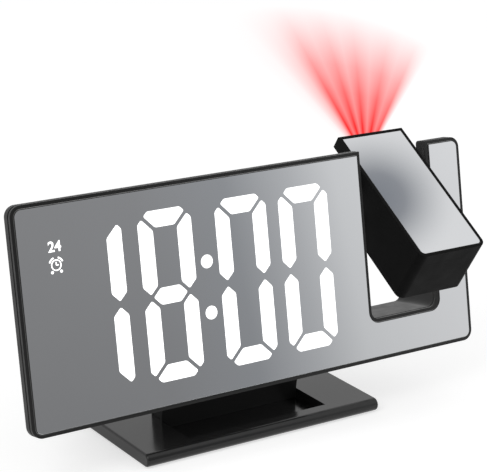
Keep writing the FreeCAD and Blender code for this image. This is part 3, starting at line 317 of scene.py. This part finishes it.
finishes["screw_steel"] = drawn_metal("screw_steel", (0.36, 0.36, 0.37), (0.47, 0.47, 0.48),
                                      0.28, 0.42)
finishes["socket_steel"] = drawn_metal("socket_steel", (0.62, 0.62, 0.63), (0.72, 0.72, 0.73),
                                       0.18, 0.30)
finishes["contact_brass"] = drawn_metal("contact_brass", (0.68, 0.52, 0.24), (0.78, 0.62, 0.32),
                                        0.22, 0.34)
finishes["axle_steel"] = drawn_metal("axle_steel", (0.52, 0.52, 0.53), (0.62, 0.62, 0.63),
                                     0.20, 0.32)
print("metals made")

# %% [markdown]
# ## The mirror
# The front is clear plastic with a one-way film behind it: it gives back about two thirds of the
# light, and film is never quite flat, so large soft waves bend the picture a little. A metal
# shader with a grey colour does that, and a thin clear coat stands for the plastic.
# %% Mirror film


def mirror_film(name):
    """Grey mirror with faint waves."""
    material, tree, shader, place = new_finish(name)
    shader.inputs["Metallic"].default_value = 1.0
    shader.inputs["Coat Weight"].default_value = 0.2
    shader.inputs["Coat Roughness"].default_value = 0.02
    drift_colour(tree, noise(tree, place, 0.06), (0.655, 0.665, 0.680), (0.675, 0.685, 0.700),
                 shader.inputs["Base Color"])
    drift_level(tree, noise(tree, place, 0.03), 0.020, 0.050, shader.inputs["Roughness"])
    relief(tree, noise(tree, place, 0.04, 1.0), 0.00002, shader)
    return material


finishes["mirror_panel"] = mirror_film("mirror_panel")
print("mirror film made")

# %% [markdown]
# ## Boards, lenses and light
# Boards are green lacquer over copper, which shows as faint paler tracks. Lenses are clear
# plastic. The lit segments give out plain white light.
# %% Board, lens and light finishes


def board_lacquer(name):
    """Green lacquer with paler tracks under it."""
    material, tree, shader, place = new_finish(name)
    tracks = tree.nodes.new("ShaderNodeTexWave")
    tracks.inputs["Scale"].default_value = 260.0
    tracks.inputs["Distortion"].default_value = 3.0
    tree.links.new(place, tracks.inputs["Vector"])
    drift_colour(tree, tracks.outputs["Fac"], (0.012, 0.085, 0.030), (0.030, 0.160, 0.060),
                 shader.inputs["Base Color"])
    drift_level(tree, noise(tree, place, 0.004), 0.25, 0.40, shader.inputs["Roughness"])
    relief(tree, tracks.outputs["Fac"], 0.00002, shader)
    return material


def clear_plastic(name, dark, light, index):
    """Clear moulded lens or glass slide."""
    material, tree, shader, place = new_finish(name)
    shader.inputs["Transmission Weight"].default_value = 1.0
    shader.inputs["IOR"].default_value = index
    drift_colour(tree, noise(tree, place, 0.004), dark, light, shader.inputs["Base Color"])
    drift_level(tree, noise(tree, place, 0.002), 0.01, 0.05, shader.inputs["Roughness"])
    return material


def glowing(name, colour, strength):
    """A surface that gives out light of its own."""
    material, tree, shader, place = new_finish(name)
    shader.inputs["Emission Color"].default_value = (*colour, 1.0)
    shader.inputs["Emission Strength"].default_value = strength
    drift_colour(tree, noise(tree, place, 0.002), grey(0.86), grey(0.95),
                 shader.inputs["Base Color"])
    drift_level(tree, noise(tree, place, 0.001), 0.40, 0.55, shader.inputs["Roughness"])
    return material


finishes["circuit_board"] = board_lacquer("circuit_board")
finishes["clear_lens"] = clear_plastic("clear_lens", (0.90, 0.93, 0.95), (0.94, 0.96, 0.98), 1.49)
finishes["slide_glass"] = clear_plastic("slide_glass", grey(0.25), grey(0.35), 1.52)
segment_light = glowing("segment_light", grey(1.0), 1.0)

# %% [markdown]
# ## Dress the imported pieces
# The record says which slot each piece takes its finish from.
# %% Assign the finishes
slots = {part["node"]: part["material_slot"] for part in frame["record"]["subparts"]}
for name, slot in slots.items():
    nodes[name].data.materials.clear()
    nodes[name].data.materials.append(finishes[slot])
print("dressed", len(slots), "pieces")

# %% [markdown]
# ## Soft edges
# Moulded edges are never quite sharp: each has a tiny round that catches the light. The packed
# pieces have sharp ones, so each piece of the outer skin is copied, its loose triangles are merged
# into whole faces, and a narrow Bevel goes along its sharp edges. Weighted Normal then keeps the
# shading of the large faces flat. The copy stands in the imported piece's place.
# %% Round the edges of the outer skin
edge_rounds = {"front_frame": 0.00022, "rear_housing": 0.00022, "projector_frame": 0.00022,
               "projector_housing": 0.00025, "stand_plate": 0.00025, "stand_neck": 0.00025,
               "battery_door": 0.00018, "snooze_button": 0.00015, "set_button": 0.00015,
               "up_button": 0.00015, "down_button": 0.00015, "alarm_button": 0.00015}
block_shells = ("projector_frame", "projector_housing")
merge_reach = 2e-6
flat_angle = radians(1.0)
edge_angle = radians(40.0)
smooth_angle = radians(30.0)
round_steps = 2
flat_weight = 100


def soft_edged(name, width):
    """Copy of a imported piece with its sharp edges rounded, or kept where the width is 0."""
    source = nodes[name]
    piece = bpy.data.objects.new(name + "_skin", source.data.copy())
    bpy.context.scene.collection.objects.link(piece)
    select_only(piece)
    bpy.ops.object.mode_set(mode="EDIT")
    bpy.ops.mesh.select_all(action="SELECT")
    bpy.ops.mesh.remove_doubles(threshold=merge_reach)
    bpy.ops.mesh.dissolve_limited(angle_limit=flat_angle)
    bpy.ops.object.mode_set(mode="OBJECT")
    if width > 0:
        edges = piece.modifiers.new("edges", "BEVEL")
        edges.width = width
        edges.segments = round_steps
        edges.limit_method = "ANGLE"
        edges.angle_limit = edge_angle
        apply_modifiers(piece)
    bpy.ops.object.shade_smooth_by_angle(angle=smooth_angle)
    shading = piece.modifiers.new("shading", "WEIGHTED_NORMAL")
    shading.keep_sharp = True
    shading.weight = flat_weight
    apply_modifiers(piece)
    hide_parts(name)
    # the block's shells take the darker copy of the case plastic, which is painted shade
    finish = shaded_block_case if name in block_shells else finishes[slots[name]]
    hand_over(piece, source["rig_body"], finish)
    return piece


skins = {name: soft_edged(name, width) for name, width in edge_rounds.items()}
print(len(skins), "pieces with soft edges")

# %% [markdown]
# ## The mirror panels
# A mirror panel reflects with its face only. Its narrow edge is blackened, so that no bright line
# runs round the mirror. The face is found by its normal, and every other face gets the edge finish.
# %% Blacken the panels' edges
face_out = body_place.to_3x3() @ Vector((0.0, -1.0, 0.0))
block_out = projector_place.to_3x3() @ Vector((0.0, -1.0, 0.0))
facing_limit = 0.995


def black_edged(name, out):
    """Copy of a mirror panel whose faces that don't look out are black."""
    panel = soft_edged(name, 0.0)
    panel.data.materials.append(mirror_edge)
    for face in panel.data.polygons:
        face.material_index = 0 if face.normal.dot(out) > facing_limit else 1
    return panel


skins["front_mirror"] = black_edged("front_mirror", face_out)
skins["projector_mirror"] = black_edged("projector_mirror", block_out)

# %% [markdown]
# ## Cutting a segment
# A lit segment is a slim plate with mitred ends. By hand one would lay down a rectangle and slice
# its ends off, and that is what this does: a plane is bisected along each side of the outline,
# its corners are rounded, and Solidify gives it a thin body.
# %% Cut a plate to a convex outline
plate_front = -0.00045
plate_thick = 0.00006
blank_size = 0.2
cut_reach = 1e-6
corner_steps = 4
facing_front = (pi / 2, 0.0, 0.0)


def keep_inside(points, middle):
    """Bisect the mesh in edit mode along each side of a convex outline and drop what is outside."""
    for start, end in zip(points, points[1:] + points[:1]):
        outward = (end - start).cross(Vector((0, 1, 0))).normalized()
        if outward.dot(middle - start) > 0:
            outward.negate()
        bpy.ops.mesh.select_all(action="SELECT")
        bpy.ops.mesh.bisect(plane_co=start, plane_no=outward, clear_outer=True,
                            threshold=cut_reach)


def give_body(plate):
    """Give a flat sheet its thin body."""
    body = plate.modifiers.new("body", "SOLIDIFY")
    body.thickness = plate_thick
    apply_modifiers(plate)
    return plate


def cut_plate(name, corners, softness):
    """Thin plate on the panel's face, cut to a convex outline of (x, z) corners in millimetres."""
    points = [Vector((x / 1000, plate_front, z / 1000)) for x, z in corners]
    middle = sum(points, Vector()) / len(points)
    select_only()
    bpy.ops.mesh.primitive_plane_add(size=blank_size, location=middle, rotation=facing_front)
    plate = bpy.context.object
    plate.name = name
    bpy.ops.object.mode_set(mode="EDIT")
    keep_inside(points, middle)
    bpy.ops.mesh.select_all(action="SELECT")
    bpy.ops.mesh.bevel(affect="VERTICES", offset=softness, segments=corner_steps)
    bpy.ops.object.mode_set(mode="OBJECT")
    return give_body(plate)


# %% [markdown]
# ## The digits
# Each digit has seven segments in a tall cell. The outlines follow from the cell's edges, the
# width of a segment and the gap between two of them, and the lower half repeats the upper half
# turned over. The wells behind the mirror have the same sizes. They show eighteen hundred hours.
# %% Light the digits
cell_width = 21.5
digit_low = 9.9
digit_high = 69.7
segment_width = 5.9
segment_gap = 1.0
corner_cut = 4.2
segment_softness = 0.0006
digit_middle = (digit_low + digit_high) / 2
cut_wide = (corner_cut + segment_gap) / 2
cut_slim = (corner_cut - segment_gap) / 2


def top_segment(centre):
    """Outline of the bar along the top of a digit."""
    left = centre - cell_width / 2
    right = centre + cell_width / 2
    inner = segment_width + segment_gap
    return [(left + corner_cut, digit_high), (right - corner_cut, digit_high),
            (right - cut_wide, digit_high - cut_slim), (right - inner, digit_high - segment_width),
            (left + inner, digit_high - segment_width), (left + cut_wide, digit_high - cut_slim)]


def side_segment(centre):
    """Outline of the upper left bar of a digit."""
    left = centre - cell_width / 2
    joint = digit_middle + segment_width / 2 + segment_gap
    return [(left, digit_high - corner_cut), (left + cut_slim, digit_high - cut_wide),
            (left + segment_width, digit_high - segment_width - segment_gap),
            (left + segment_width, joint), (left + segment_width / 2, digit_middle + segment_gap),
            (left, joint)]


def middle_segment(centre):
    """Outline of the bar across the middle of a digit."""
    half = segment_width / 2
    reach = cell_width / 2 - half - segment_gap
    flat = reach - half
    return [(centre - reach, digit_middle), (centre - flat, digit_middle + half),
            (centre + flat, digit_middle + half), (centre + reach, digit_middle),
            (centre + flat, digit_middle - half), (centre - flat, digit_middle - half)]


def turned_down(corners):
    """The same outline in the lower half of the digit."""
    return [(x, 2 * digit_middle - z) for x, z in corners]


def turned_right(corners, centre):
    """The same outline on the right of the digit."""
    return [(2 * centre - x, z) for x, z in corners]


def digit_outlines(centre, lit):
    """Outlines of the lit segments, by their usual letters."""
    top = top_segment(centre)
    side = side_segment(centre)
    outlines = {"a": top, "b": turned_right(side, centre),
                "c": turned_right(turned_down(side), centre), "d": turned_down(top),
                "e": turned_down(side), "f": side, "g": middle_segment(centre)}
    return [outlines[letter] for letter in lit]


def light_digit(name, centre, lit):
    """All lit segments of one digit as one piece."""
    plates = [cut_plate(name, outline, segment_softness) for outline in digit_outlines(centre, lit)]
    digit = join_pieces(plates, name)
    apply_place(digit, body_place)
    hand_over(digit, "clock", segment_light)


light_digit("lit_hour_tens", -65.1, "bc")
light_digit("lit_hour_units", -37.2, "abcdefg")
light_digit("lit_minute_tens", -5.9, "abcdef")
light_digit("lit_minute_units", 21.0, "abcdef")

# %% [markdown]
# ## The colon
# Two round dots, each a disc with the same thin body.
# %% Light the colon
dot_radius = 0.0024
dot_x = -0.02155
dot_heights = (0.0307, 0.0489)
disc_sides = 48


def flat_disc(x, height, radius, sides=disc_sides):
    """Flat round sheet on the panel's face."""
    select_only()
    bpy.ops.mesh.primitive_circle_add(vertices=sides, radius=radius, fill_type="NGON",
                                      location=(x, plate_front, height), rotation=facing_front)
    return bpy.context.object


colon = join_pieces([give_body(flat_disc(dot_x, height, dot_radius)) for height in dot_heights],
                    "lit_colon")
apply_place(colon, body_place)
hand_over(colon, "clock", segment_light)

# %% [markdown]
# ## The small signs
# Above the alarm sign a plain number shows that the clock counts 24 hours. The text is made bolder
# by its offset, and it is made a mesh before its place is applied.
# %% Number sign
sign_x = -0.080
number_base = 0.0616
number_size = 0.0050
number_bold = 0.00010
select_only()
bpy.ops.object.text_add(location=(sign_x, plate_front, number_base), rotation=facing_front)
number_sign = bpy.context.object
number_sign.data.body = "24"
number_sign.data.size = number_size
number_sign.data.offset = number_bold
number_sign.data.align_x = "CENTER"
bpy.ops.object.convert(target="MESH")
number_sign = bpy.context.object
number_sign.name = "lit_format_sign"
give_body(number_sign)
apply_place(number_sign, body_place)
hand_over(number_sign, "clock", segment_light)

# %% [markdown]
# The alarm sign is a ring with two hands, two curved bells and two round feet. A ring is a disc
# with its middle inset and taken out. A bell is a slice of a wider ring, cut out with the same
# bisecting as a segment, and the hands are short bars.
# %% Alarm sign
sign_height = 0.0570
ring_radius = 0.00195
ring_line = 0.00040
bell_radius = 0.00290
bell_line = 0.00058
bell_turns = (radians(47.0), radians(133.0))
bell_spread = radians(25.0)
foot_radius = 0.00052
foot_out = 0.00170
foot_drop = 0.00228
foot_sides = 20
hand_ends = ((0.0, 0.58), (0.46, 0.0))
hand_softness = 0.00008
sign_middle = Vector((sign_x, plate_front, sign_height))


def flat_ring(radius, line):
    """Flat ring round the sign's middle."""
    ring = flat_disc(sign_x, sign_height, radius)
    bpy.ops.object.mode_set(mode="EDIT")
    bpy.ops.mesh.select_all(action="SELECT")
    bpy.ops.mesh.inset(thickness=line)
    bpy.ops.mesh.delete(type="FACE")
    bpy.ops.object.mode_set(mode="OBJECT")
    return ring


def on_sign(turn, radius):
    """Point at a turn and a distance from the sign's middle."""
    return sign_middle + Vector((radius * cos(turn), 0.0, radius * sin(turn)))


def sign_bell(turn):
    """Curved bell: the slice of a wide ring on both sides of one turn."""
    bell = flat_ring(bell_radius, bell_line)
    far = 3.0 * bell_radius
    slice_corners = [sign_middle, on_sign(turn - bell_spread, far),
                     on_sign(turn + bell_spread, far)]
    bpy.ops.object.mode_set(mode="EDIT")
    keep_inside(slice_corners, sum(slice_corners, Vector()) / 3)
    bpy.ops.object.mode_set(mode="OBJECT")
    return give_body(bell)


def sign_bar(end):
    """Short bar from the sign's middle to an (across, up) point in ring radii."""
    tip = Vector(end) * ring_radius * 1000
    foot = Vector((sign_x, sign_height)) * 1000
    side = Vector((-tip.y, tip.x)).normalized() * ring_line * 500
    corners = [foot + side, foot + tip + side, foot + tip - side, foot - side]
    return cut_plate("bar", [tuple(corner) for corner in corners], hand_softness)


sign_pieces = [give_body(flat_ring(ring_radius, ring_line))]
sign_pieces += [sign_bar(end) for end in hand_ends]
sign_pieces += [sign_bell(turn) for turn in bell_turns]
sign_pieces += [give_body(flat_disc(sign_x + side * foot_out, sign_height - foot_drop,
                                    foot_radius, foot_sides)) for side in (-1, 1)]
alarm_sign = join_pieces(sign_pieces, "lit_alarm_sign")
apply_place(alarm_sign, body_place)
hand_over(alarm_sign, "clock", segment_light)

# %% [markdown]
# ## The projector's lens
# The lens is a polished cap that bulges a little over its rim. A plane is merged to one point, and
# the point is extruded from the crown to the rim and down the side. That half outline is then spun
# once round, which gives an even dome.
# %% Spin the lens
lens_radius = 0.00502
lens_crown = 0.0009
lens_side = 0.0020
dome_steps = 10
spin_steps = 48
weld_reach = 1e-6


def dome_outline():
    """Half outline of the lens as (out, up) points, from the upper crown to the lower one."""
    ball = (lens_radius ** 2 + lens_crown ** 2) / (2 * lens_crown)
    outs = [lens_radius * step / dome_steps for step in range(dome_steps + 1)]
    falls = [ball - (ball * ball - out * out) ** 0.5 for out in outs]
    upper = [(out, -fall) for out, fall in zip(outs, falls)]
    lower = [(out, fall - 2 * lens_crown - lens_side) for out, fall in zip(outs, falls)]
    return upper + lower[::-1]


select_only()
bpy.ops.mesh.primitive_plane_add(size=lens_radius, calc_uvs=False, location=(0.0, 0.0, 0.0))
lens = bpy.context.object
lens.name = "lens_glass"
lens.data.name = "lens_glass"
outline = dome_outline()
bpy.ops.object.mode_set(mode="EDIT")
bpy.ops.mesh.select_all(action="SELECT")
bpy.ops.mesh.merge(type="CENTER")
for (out, up), (next_out, next_up) in zip(outline, outline[1:]):
    step = (next_out - out, 0.0, next_up - up)
    bpy.ops.mesh.extrude_region_move(TRANSFORM_OT_translate={"value": step})
bpy.ops.mesh.select_all(action="SELECT")
bpy.ops.mesh.spin(steps=spin_steps, angle=2 * pi, center=(0, 0, 0), axis=(0, 0, 1), dupli=False)
bpy.ops.mesh.select_all(action="SELECT")
bpy.ops.mesh.remove_doubles(threshold=weld_reach)
bpy.ops.mesh.normals_make_consistent(inside=False)
bpy.ops.object.mode_set(mode="OBJECT")
bpy.ops.object.shade_smooth_by_angle(angle=smooth_angle)
apply_place(lens, projector_place @ Matrix.Translation(lens_top))
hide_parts("projection_lens")
hand_over(lens, nodes["projection_lens"]["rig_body"], finishes["clear_lens"])

# %% [markdown]
# ## The light beam
# The projector throws a fan of red light. It isn't a piece of the clock, so it is staged: a flat
# sheet through the lens, clear where there is no light and red where there is. A ramp over the
# angle from the lens gives the streaks, and a ramp over the distance lets them fade out. It only
# colours what the camera sees through it, and it turns with the projector. The streaks meet a
# little to the right of the lens's middle, so the fan starts there.
# %% Beam
beam_shift = Vector((0.0034, 0.0, 0.0010))
beam_origin = lens_spot + projector_place.to_3x3() @ beam_shift
beam_left = -0.040
beam_right = 0.080
beam_reach = 0.090
fan_start = radians(-20.0)
fan_end = radians(52.0)
beam_red = (0.97, 0.0, 0.0, 1.0)
select_only()
bpy.ops.mesh.primitive_plane_add(size=1.0, location=(0.0, 0.0, 0.0), rotation=facing_front)
beam = bpy.context.object
beam.name = "light_beam"
beam.scale = (beam_right - beam_left, beam_reach, 1.0)
beam.location = ((beam_left + beam_right) / 2, 0.0, beam_reach / 2)
apply_place(beam, Matrix.Translation(beam_origin) @ Matrix.Rotation(-lean - tilt, 4, "X"))
beam_light = bpy.data.materials.new("beam_light")
beam_light.use_nodes = True
beam_tree = beam_light.node_tree
beam_tree.nodes.remove(beam_tree.nodes["Principled BSDF"])
beam_centre = beam_tree.nodes.new("ShaderNodeMapping")
beam_centre.vector_type = "TEXTURE"
beam_centre.inputs["Location"].default_value = beam_origin
beam_centre.inputs["Rotation"].default_value = (-lean - tilt, 0.0, 0.0)
beam_parts = beam_tree.nodes.new("ShaderNodeSeparateXYZ")
beam_tree.links.new(beam_tree.nodes.new("ShaderNodeTexCoord").outputs["Object"],
                    beam_centre.inputs["Vector"])
beam_tree.links.new(beam_centre.outputs["Vector"], beam_parts.inputs["Vector"])
beam_length = beam_tree.nodes.new("ShaderNodeVectorMath")
beam_length.operation = "LENGTH"
beam_tree.links.new(beam_centre.outputs["Vector"], beam_length.inputs[0])
beam_angle = combine(beam_tree, "ARCTAN2", beam_parts.outputs["X"], beam_parts.outputs["Z"])
streaks = ramp(beam_tree, between(beam_tree, beam_angle, fan_start, fan_end, 0.0, 1.0),
               [(0.0, grey(0.0)), (0.15, grey(0.10)), (0.28, grey(0.50)), (0.371, grey(1.0)),
                (0.451, grey(0.80)), (0.531, grey(1.0)), (0.597, grey(0.78)), (0.664, grey(1.0)),
                (0.742, grey(0.76)), (0.818, grey(1.0)), (0.878, grey(0.78)), (0.936, grey(0.95)),
                (0.975, grey(0.40)), (1.0, grey(0.0))])
fading = ramp(beam_tree, combine(beam_tree, "DIVIDE", beam_length.outputs["Value"], beam_reach),
              [(0.0, grey(1.0)), (0.20, grey(0.98)), (0.42, grey(0.84)), (0.60, grey(0.64)),
               (0.78, grey(0.34)), (0.98, grey(0.0))])
beam_tint = beam_tree.nodes.new("ShaderNodeMix")
beam_tint.data_type = "RGBA"
beam_tint.inputs["A"].default_value = (1.0, 1.0, 1.0, 1.0)
beam_tint.inputs["B"].default_value = beam_red
beam_tree.links.new(combine(beam_tree, "MULTIPLY", streaks, fading), beam_tint.inputs["Factor"])
beam_clear = beam_tree.nodes.new("ShaderNodeBsdfTransparent")
beam_tree.links.new(beam_tint.outputs["Result"], beam_clear.inputs["Color"])
beam_tree.links.new(beam_clear.outputs["BSDF"],
                    beam_tree.nodes["Material Output"].inputs["Surface"])
beam.data.materials.append(beam_light)
hide_from(beam, ("diffuse", "glossy", "transmission", "shadow", "volume_scatter"))
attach(beam, "projector")
print("beam", round(beam_reach * 1000), "mm long")

# %% [markdown]
# ## What is seen and what lights
# The studio is white to the eye but lights the clock at a plain level. A Light Path node tells
# both apart: its rays from the camera, and those that come by way of a shiny or clear surface, see
# the white, and all the others get the plain light.
# %% Rays that see the white


def seen_ray(tree):
    """1 where the camera, a shiny or a clear surface looks, and 0 for light that just spreads."""
    path = tree.nodes.new("ShaderNodeLightPath")
    seen = combine(tree, "MAXIMUM", path.outputs["Is Camera Ray"], path.outputs["Is Glossy Ray"])
    return combine(tree, "MAXIMUM", seen, path.outputs["Is Transmission Ray"])


# %% [markdown]
# ## The floor
# A pale floor runs under the clock. It is lit as everything else is and keeps the shadow, and where
# it is seen it glows just enough to come out white.
# %% Floor
floor_level = 0.62
select_only()
bpy.ops.mesh.primitive_plane_add(size=6.0, location=(0.0, 0.0, 0.0))
floor = bpy.context.object
floor.name = "studio_floor"
floor_finish, floor_tree, floor_shader, floor_spot = new_finish("studio_floor")
drift_colour(floor_tree, noise(floor_tree, floor_spot, 0.4), grey(0.62), grey(0.64),
             floor_shader.inputs["Base Color"])
floor_shader.inputs["Roughness"].default_value = 0.8
floor_shader.inputs["Specular IOR Level"].default_value = 0.0
floor_shader.inputs["Emission Color"].default_value = (1.0, 1.0, 1.0, 1.0)
floor_tree.links.new(combine(floor_tree, "MULTIPLY", seen_ray(floor_tree), floor_level),
                     floor_shader.inputs["Emission Strength"])
floor.data.materials.append(floor_finish)
print("floor laid")

# %% [markdown]
# ## The sky
# The world is a white dome. It lights the clock at a little over half its strength and is seen at
# its full white.
# %% World
sky_plain = 0.55
world = bpy.data.worlds.new("studio_sky")
bpy.context.scene.world = world
world.use_nodes = True
sky = world.node_tree
sky_light = sky.nodes["Background"]
sky_light.inputs["Color"].default_value = (1.0, 1.0, 1.0, 1.0)
sky_level = between(sky, seen_ray(sky), 0.0, 1.0, sky_plain, 1.0)
sky.links.new(sky_level, sky_light.inputs["Strength"])
print("sky set")

# %% [markdown]
# ## Cards for the mirrors
# A mirror shows only what stands before it, and a bare white studio would leave it flat. So, as in
# a product studio, grey cards stand outside the picture: one upright before the face, darker at its
# left and bright at its right, and one overhead for the projector's mirror. Only shiny surfaces
# see them. The upright one fades out at its left and top and the other at its right, so that no
# hard line shows from the camera's side.
# %% Reflection cards


def reflection_card(name, corner, far_corner, paint):
    """Glossy-only card between two corners; paint(tree, x, y, z) gives its colour and cover."""
    low, high = Vector(corner), Vector(far_corner)
    upright = abs(high.y - low.y) < 1e-6
    select_only()
    bpy.ops.mesh.primitive_plane_add(size=1.0, location=(low + high) / 2,
                                     rotation=facing_front if upright else (0.0, 0.0, 0.0))
    card = bpy.context.object
    card.name = name
    card.scale = (high.x - low.x, high.z - low.z if upright else high.y - low.y, 1.0)
    apply_place(card, Matrix.Identity(4))
    material, tree, shader, place = new_finish(name)
    tree.nodes.remove(shader)
    parts = tree.nodes.new("ShaderNodeSeparateXYZ")
    tree.links.new(place, parts.inputs["Vector"])
    colour, cover = paint(tree, *parts.outputs)
    glow = tree.nodes.new("ShaderNodeEmission")
    tree.links.new(colour, glow.inputs["Color"])
    mix = tree.nodes.new("ShaderNodeMixShader")
    tree.links.new(cover, mix.inputs["Fac"])
    tree.links.new(tree.nodes.new("ShaderNodeBsdfTransparent").outputs["BSDF"], mix.inputs[1])
    tree.links.new(glow.outputs["Emission"], mix.inputs[2])
    tree.links.new(mix.outputs["Shader"], tree.nodes["Material Output"].inputs["Surface"])
    card.data.materials.append(material)
    hide_from(card, ("camera", "diffuse", "transmission", "shadow", "volume_scatter"))
    print(name, "from", [round(c, 2) for c in low], "to", [round(c, 2) for c in high])


def face_paint(tree, x, y, z):
    """Dark at the left, bright at the right, a little brighter higher up."""
    across = between(tree, x, 0.0, 0.40, 0.0, 1.0)
    shade = ramp(tree, across, [(0.0, (0.290, 0.290, 0.292)), (0.28, (0.310, 0.312, 0.318)),
                                (0.42, (0.360, 0.370, 0.385)), (0.52, (0.560, 0.568, 0.580)),
                                (0.60, (0.780, 0.785, 0.790)), (0.68, (0.850, 0.852, 0.855)),
                                (0.85, (0.950, 0.950, 0.950)), (1.0, grey(1.0))])
    lift = between(tree, z, 0.0, 0.12, 0.92, 1.08)
    scaled = tree.nodes.new("ShaderNodeVectorMath")
    scaled.operation = "SCALE"
    tree.links.new(shade, scaled.inputs[0])
    tree.links.new(lift, scaled.inputs["Scale"])
    left_fade = between(tree, x, -0.60, -0.25, 0.0, 1.0, smooth=True)
    top_fade = between(tree, z, 0.45, 0.20, 0.0, 1.0, smooth=True)
    return scaled.outputs["Vector"], combine(tree, "MULTIPLY", left_fade, top_fade)


def overhead_paint(tree, x, y, z):
    """Nearly white, with a soft grey patch towards the projector mirror's left middle."""
    dip_x, dip_y, dip_wide, dip_deep = 0.352, 0.020, 0.072, 0.050
    away_x = combine(tree, "DIVIDE", combine(tree, "SUBTRACT", x, dip_x), dip_wide)
    away_y = combine(tree, "DIVIDE", combine(tree, "SUBTRACT", y, dip_y), dip_deep)
    away = combine(tree, "SQRT", combine(tree, "ADD", combine(tree, "MULTIPLY", away_x, away_x),
                                         combine(tree, "MULTIPLY", away_y, away_y)), 0.0)
    shade = ramp(tree, between(tree, away, 0.0, 1.0, 0.0, 1.0, smooth=True),
                 [(0.0, (0.300, 0.318, 0.352)), (0.30, (0.370, 0.385, 0.412)), (1.0, grey(1.0))])
    side_fade = between(tree, x, 0.75, 0.60, 0.0, 1.0, smooth=True)
    return shade, side_fade


reflection_card("face_card", (-0.60, -0.30, 0.001), (0.40, -0.30, 0.46), face_paint)
reflection_card("overhead_card", (0.10, -0.25, 0.50), (0.76, 0.30, 0.50), overhead_paint)

# %% [markdown]
# ## What the mirrors leave out
# The projector stands right beside the face, and the body beside the projector's mirror, so each
# would show a dark slice of the other. In the pictured clock neither is seen, so shiny surfaces
# look past the case and the block here. This is a choice for the picture, not how light behaves.
# %% Keep the clock out of its own mirrors
body_front = ("front_frame", "rear_housing", "front_mirror")
block_pieces = frame["record"]["behaviour"]["bodies"]["projector"]
unmirrored = [nodes[name] for name in (*block_pieces, *body_front)]
unmirrored += [skins[name] for name in (*body_front, *block_shells, "projector_mirror")]
for item in unmirrored:
    item.visible_glossy = False
print(len(unmirrored), "pieces out of the reflections")

# %% [markdown]
# ## Lamps
# Two large soft lamps shape the dark plastic: a stronger one at the left, which draws the long
# edges, and a weak one at the right. They are weak enough for every colour to come out as written.
# %% Lamps
lamp_aim = Vector((0.0, 0.0, 0.05))


def soft_lamp(name, spot, width, power):
    """Square soft lamp that looks at the clock."""
    data = bpy.data.lights.new(name, "AREA")
    data.size = width
    data.energy = power
    lamp = bpy.data.objects.new(name, data)
    lamp.location = spot
    lamp.rotation_euler = (lamp_aim - Vector(spot)).to_track_quat("-Z", "Y").to_euler()
    bpy.context.scene.collection.objects.link(lamp)


soft_lamp("key_lamp", (-0.9, -0.5, 0.9), 0.6, 4.0)
soft_lamp("fill_lamp", (0.9, -0.8, 0.7), 0.8, 2.0)
bpy.context.scene.view_settings.view_transform = "Standard"
print("lamps lit")
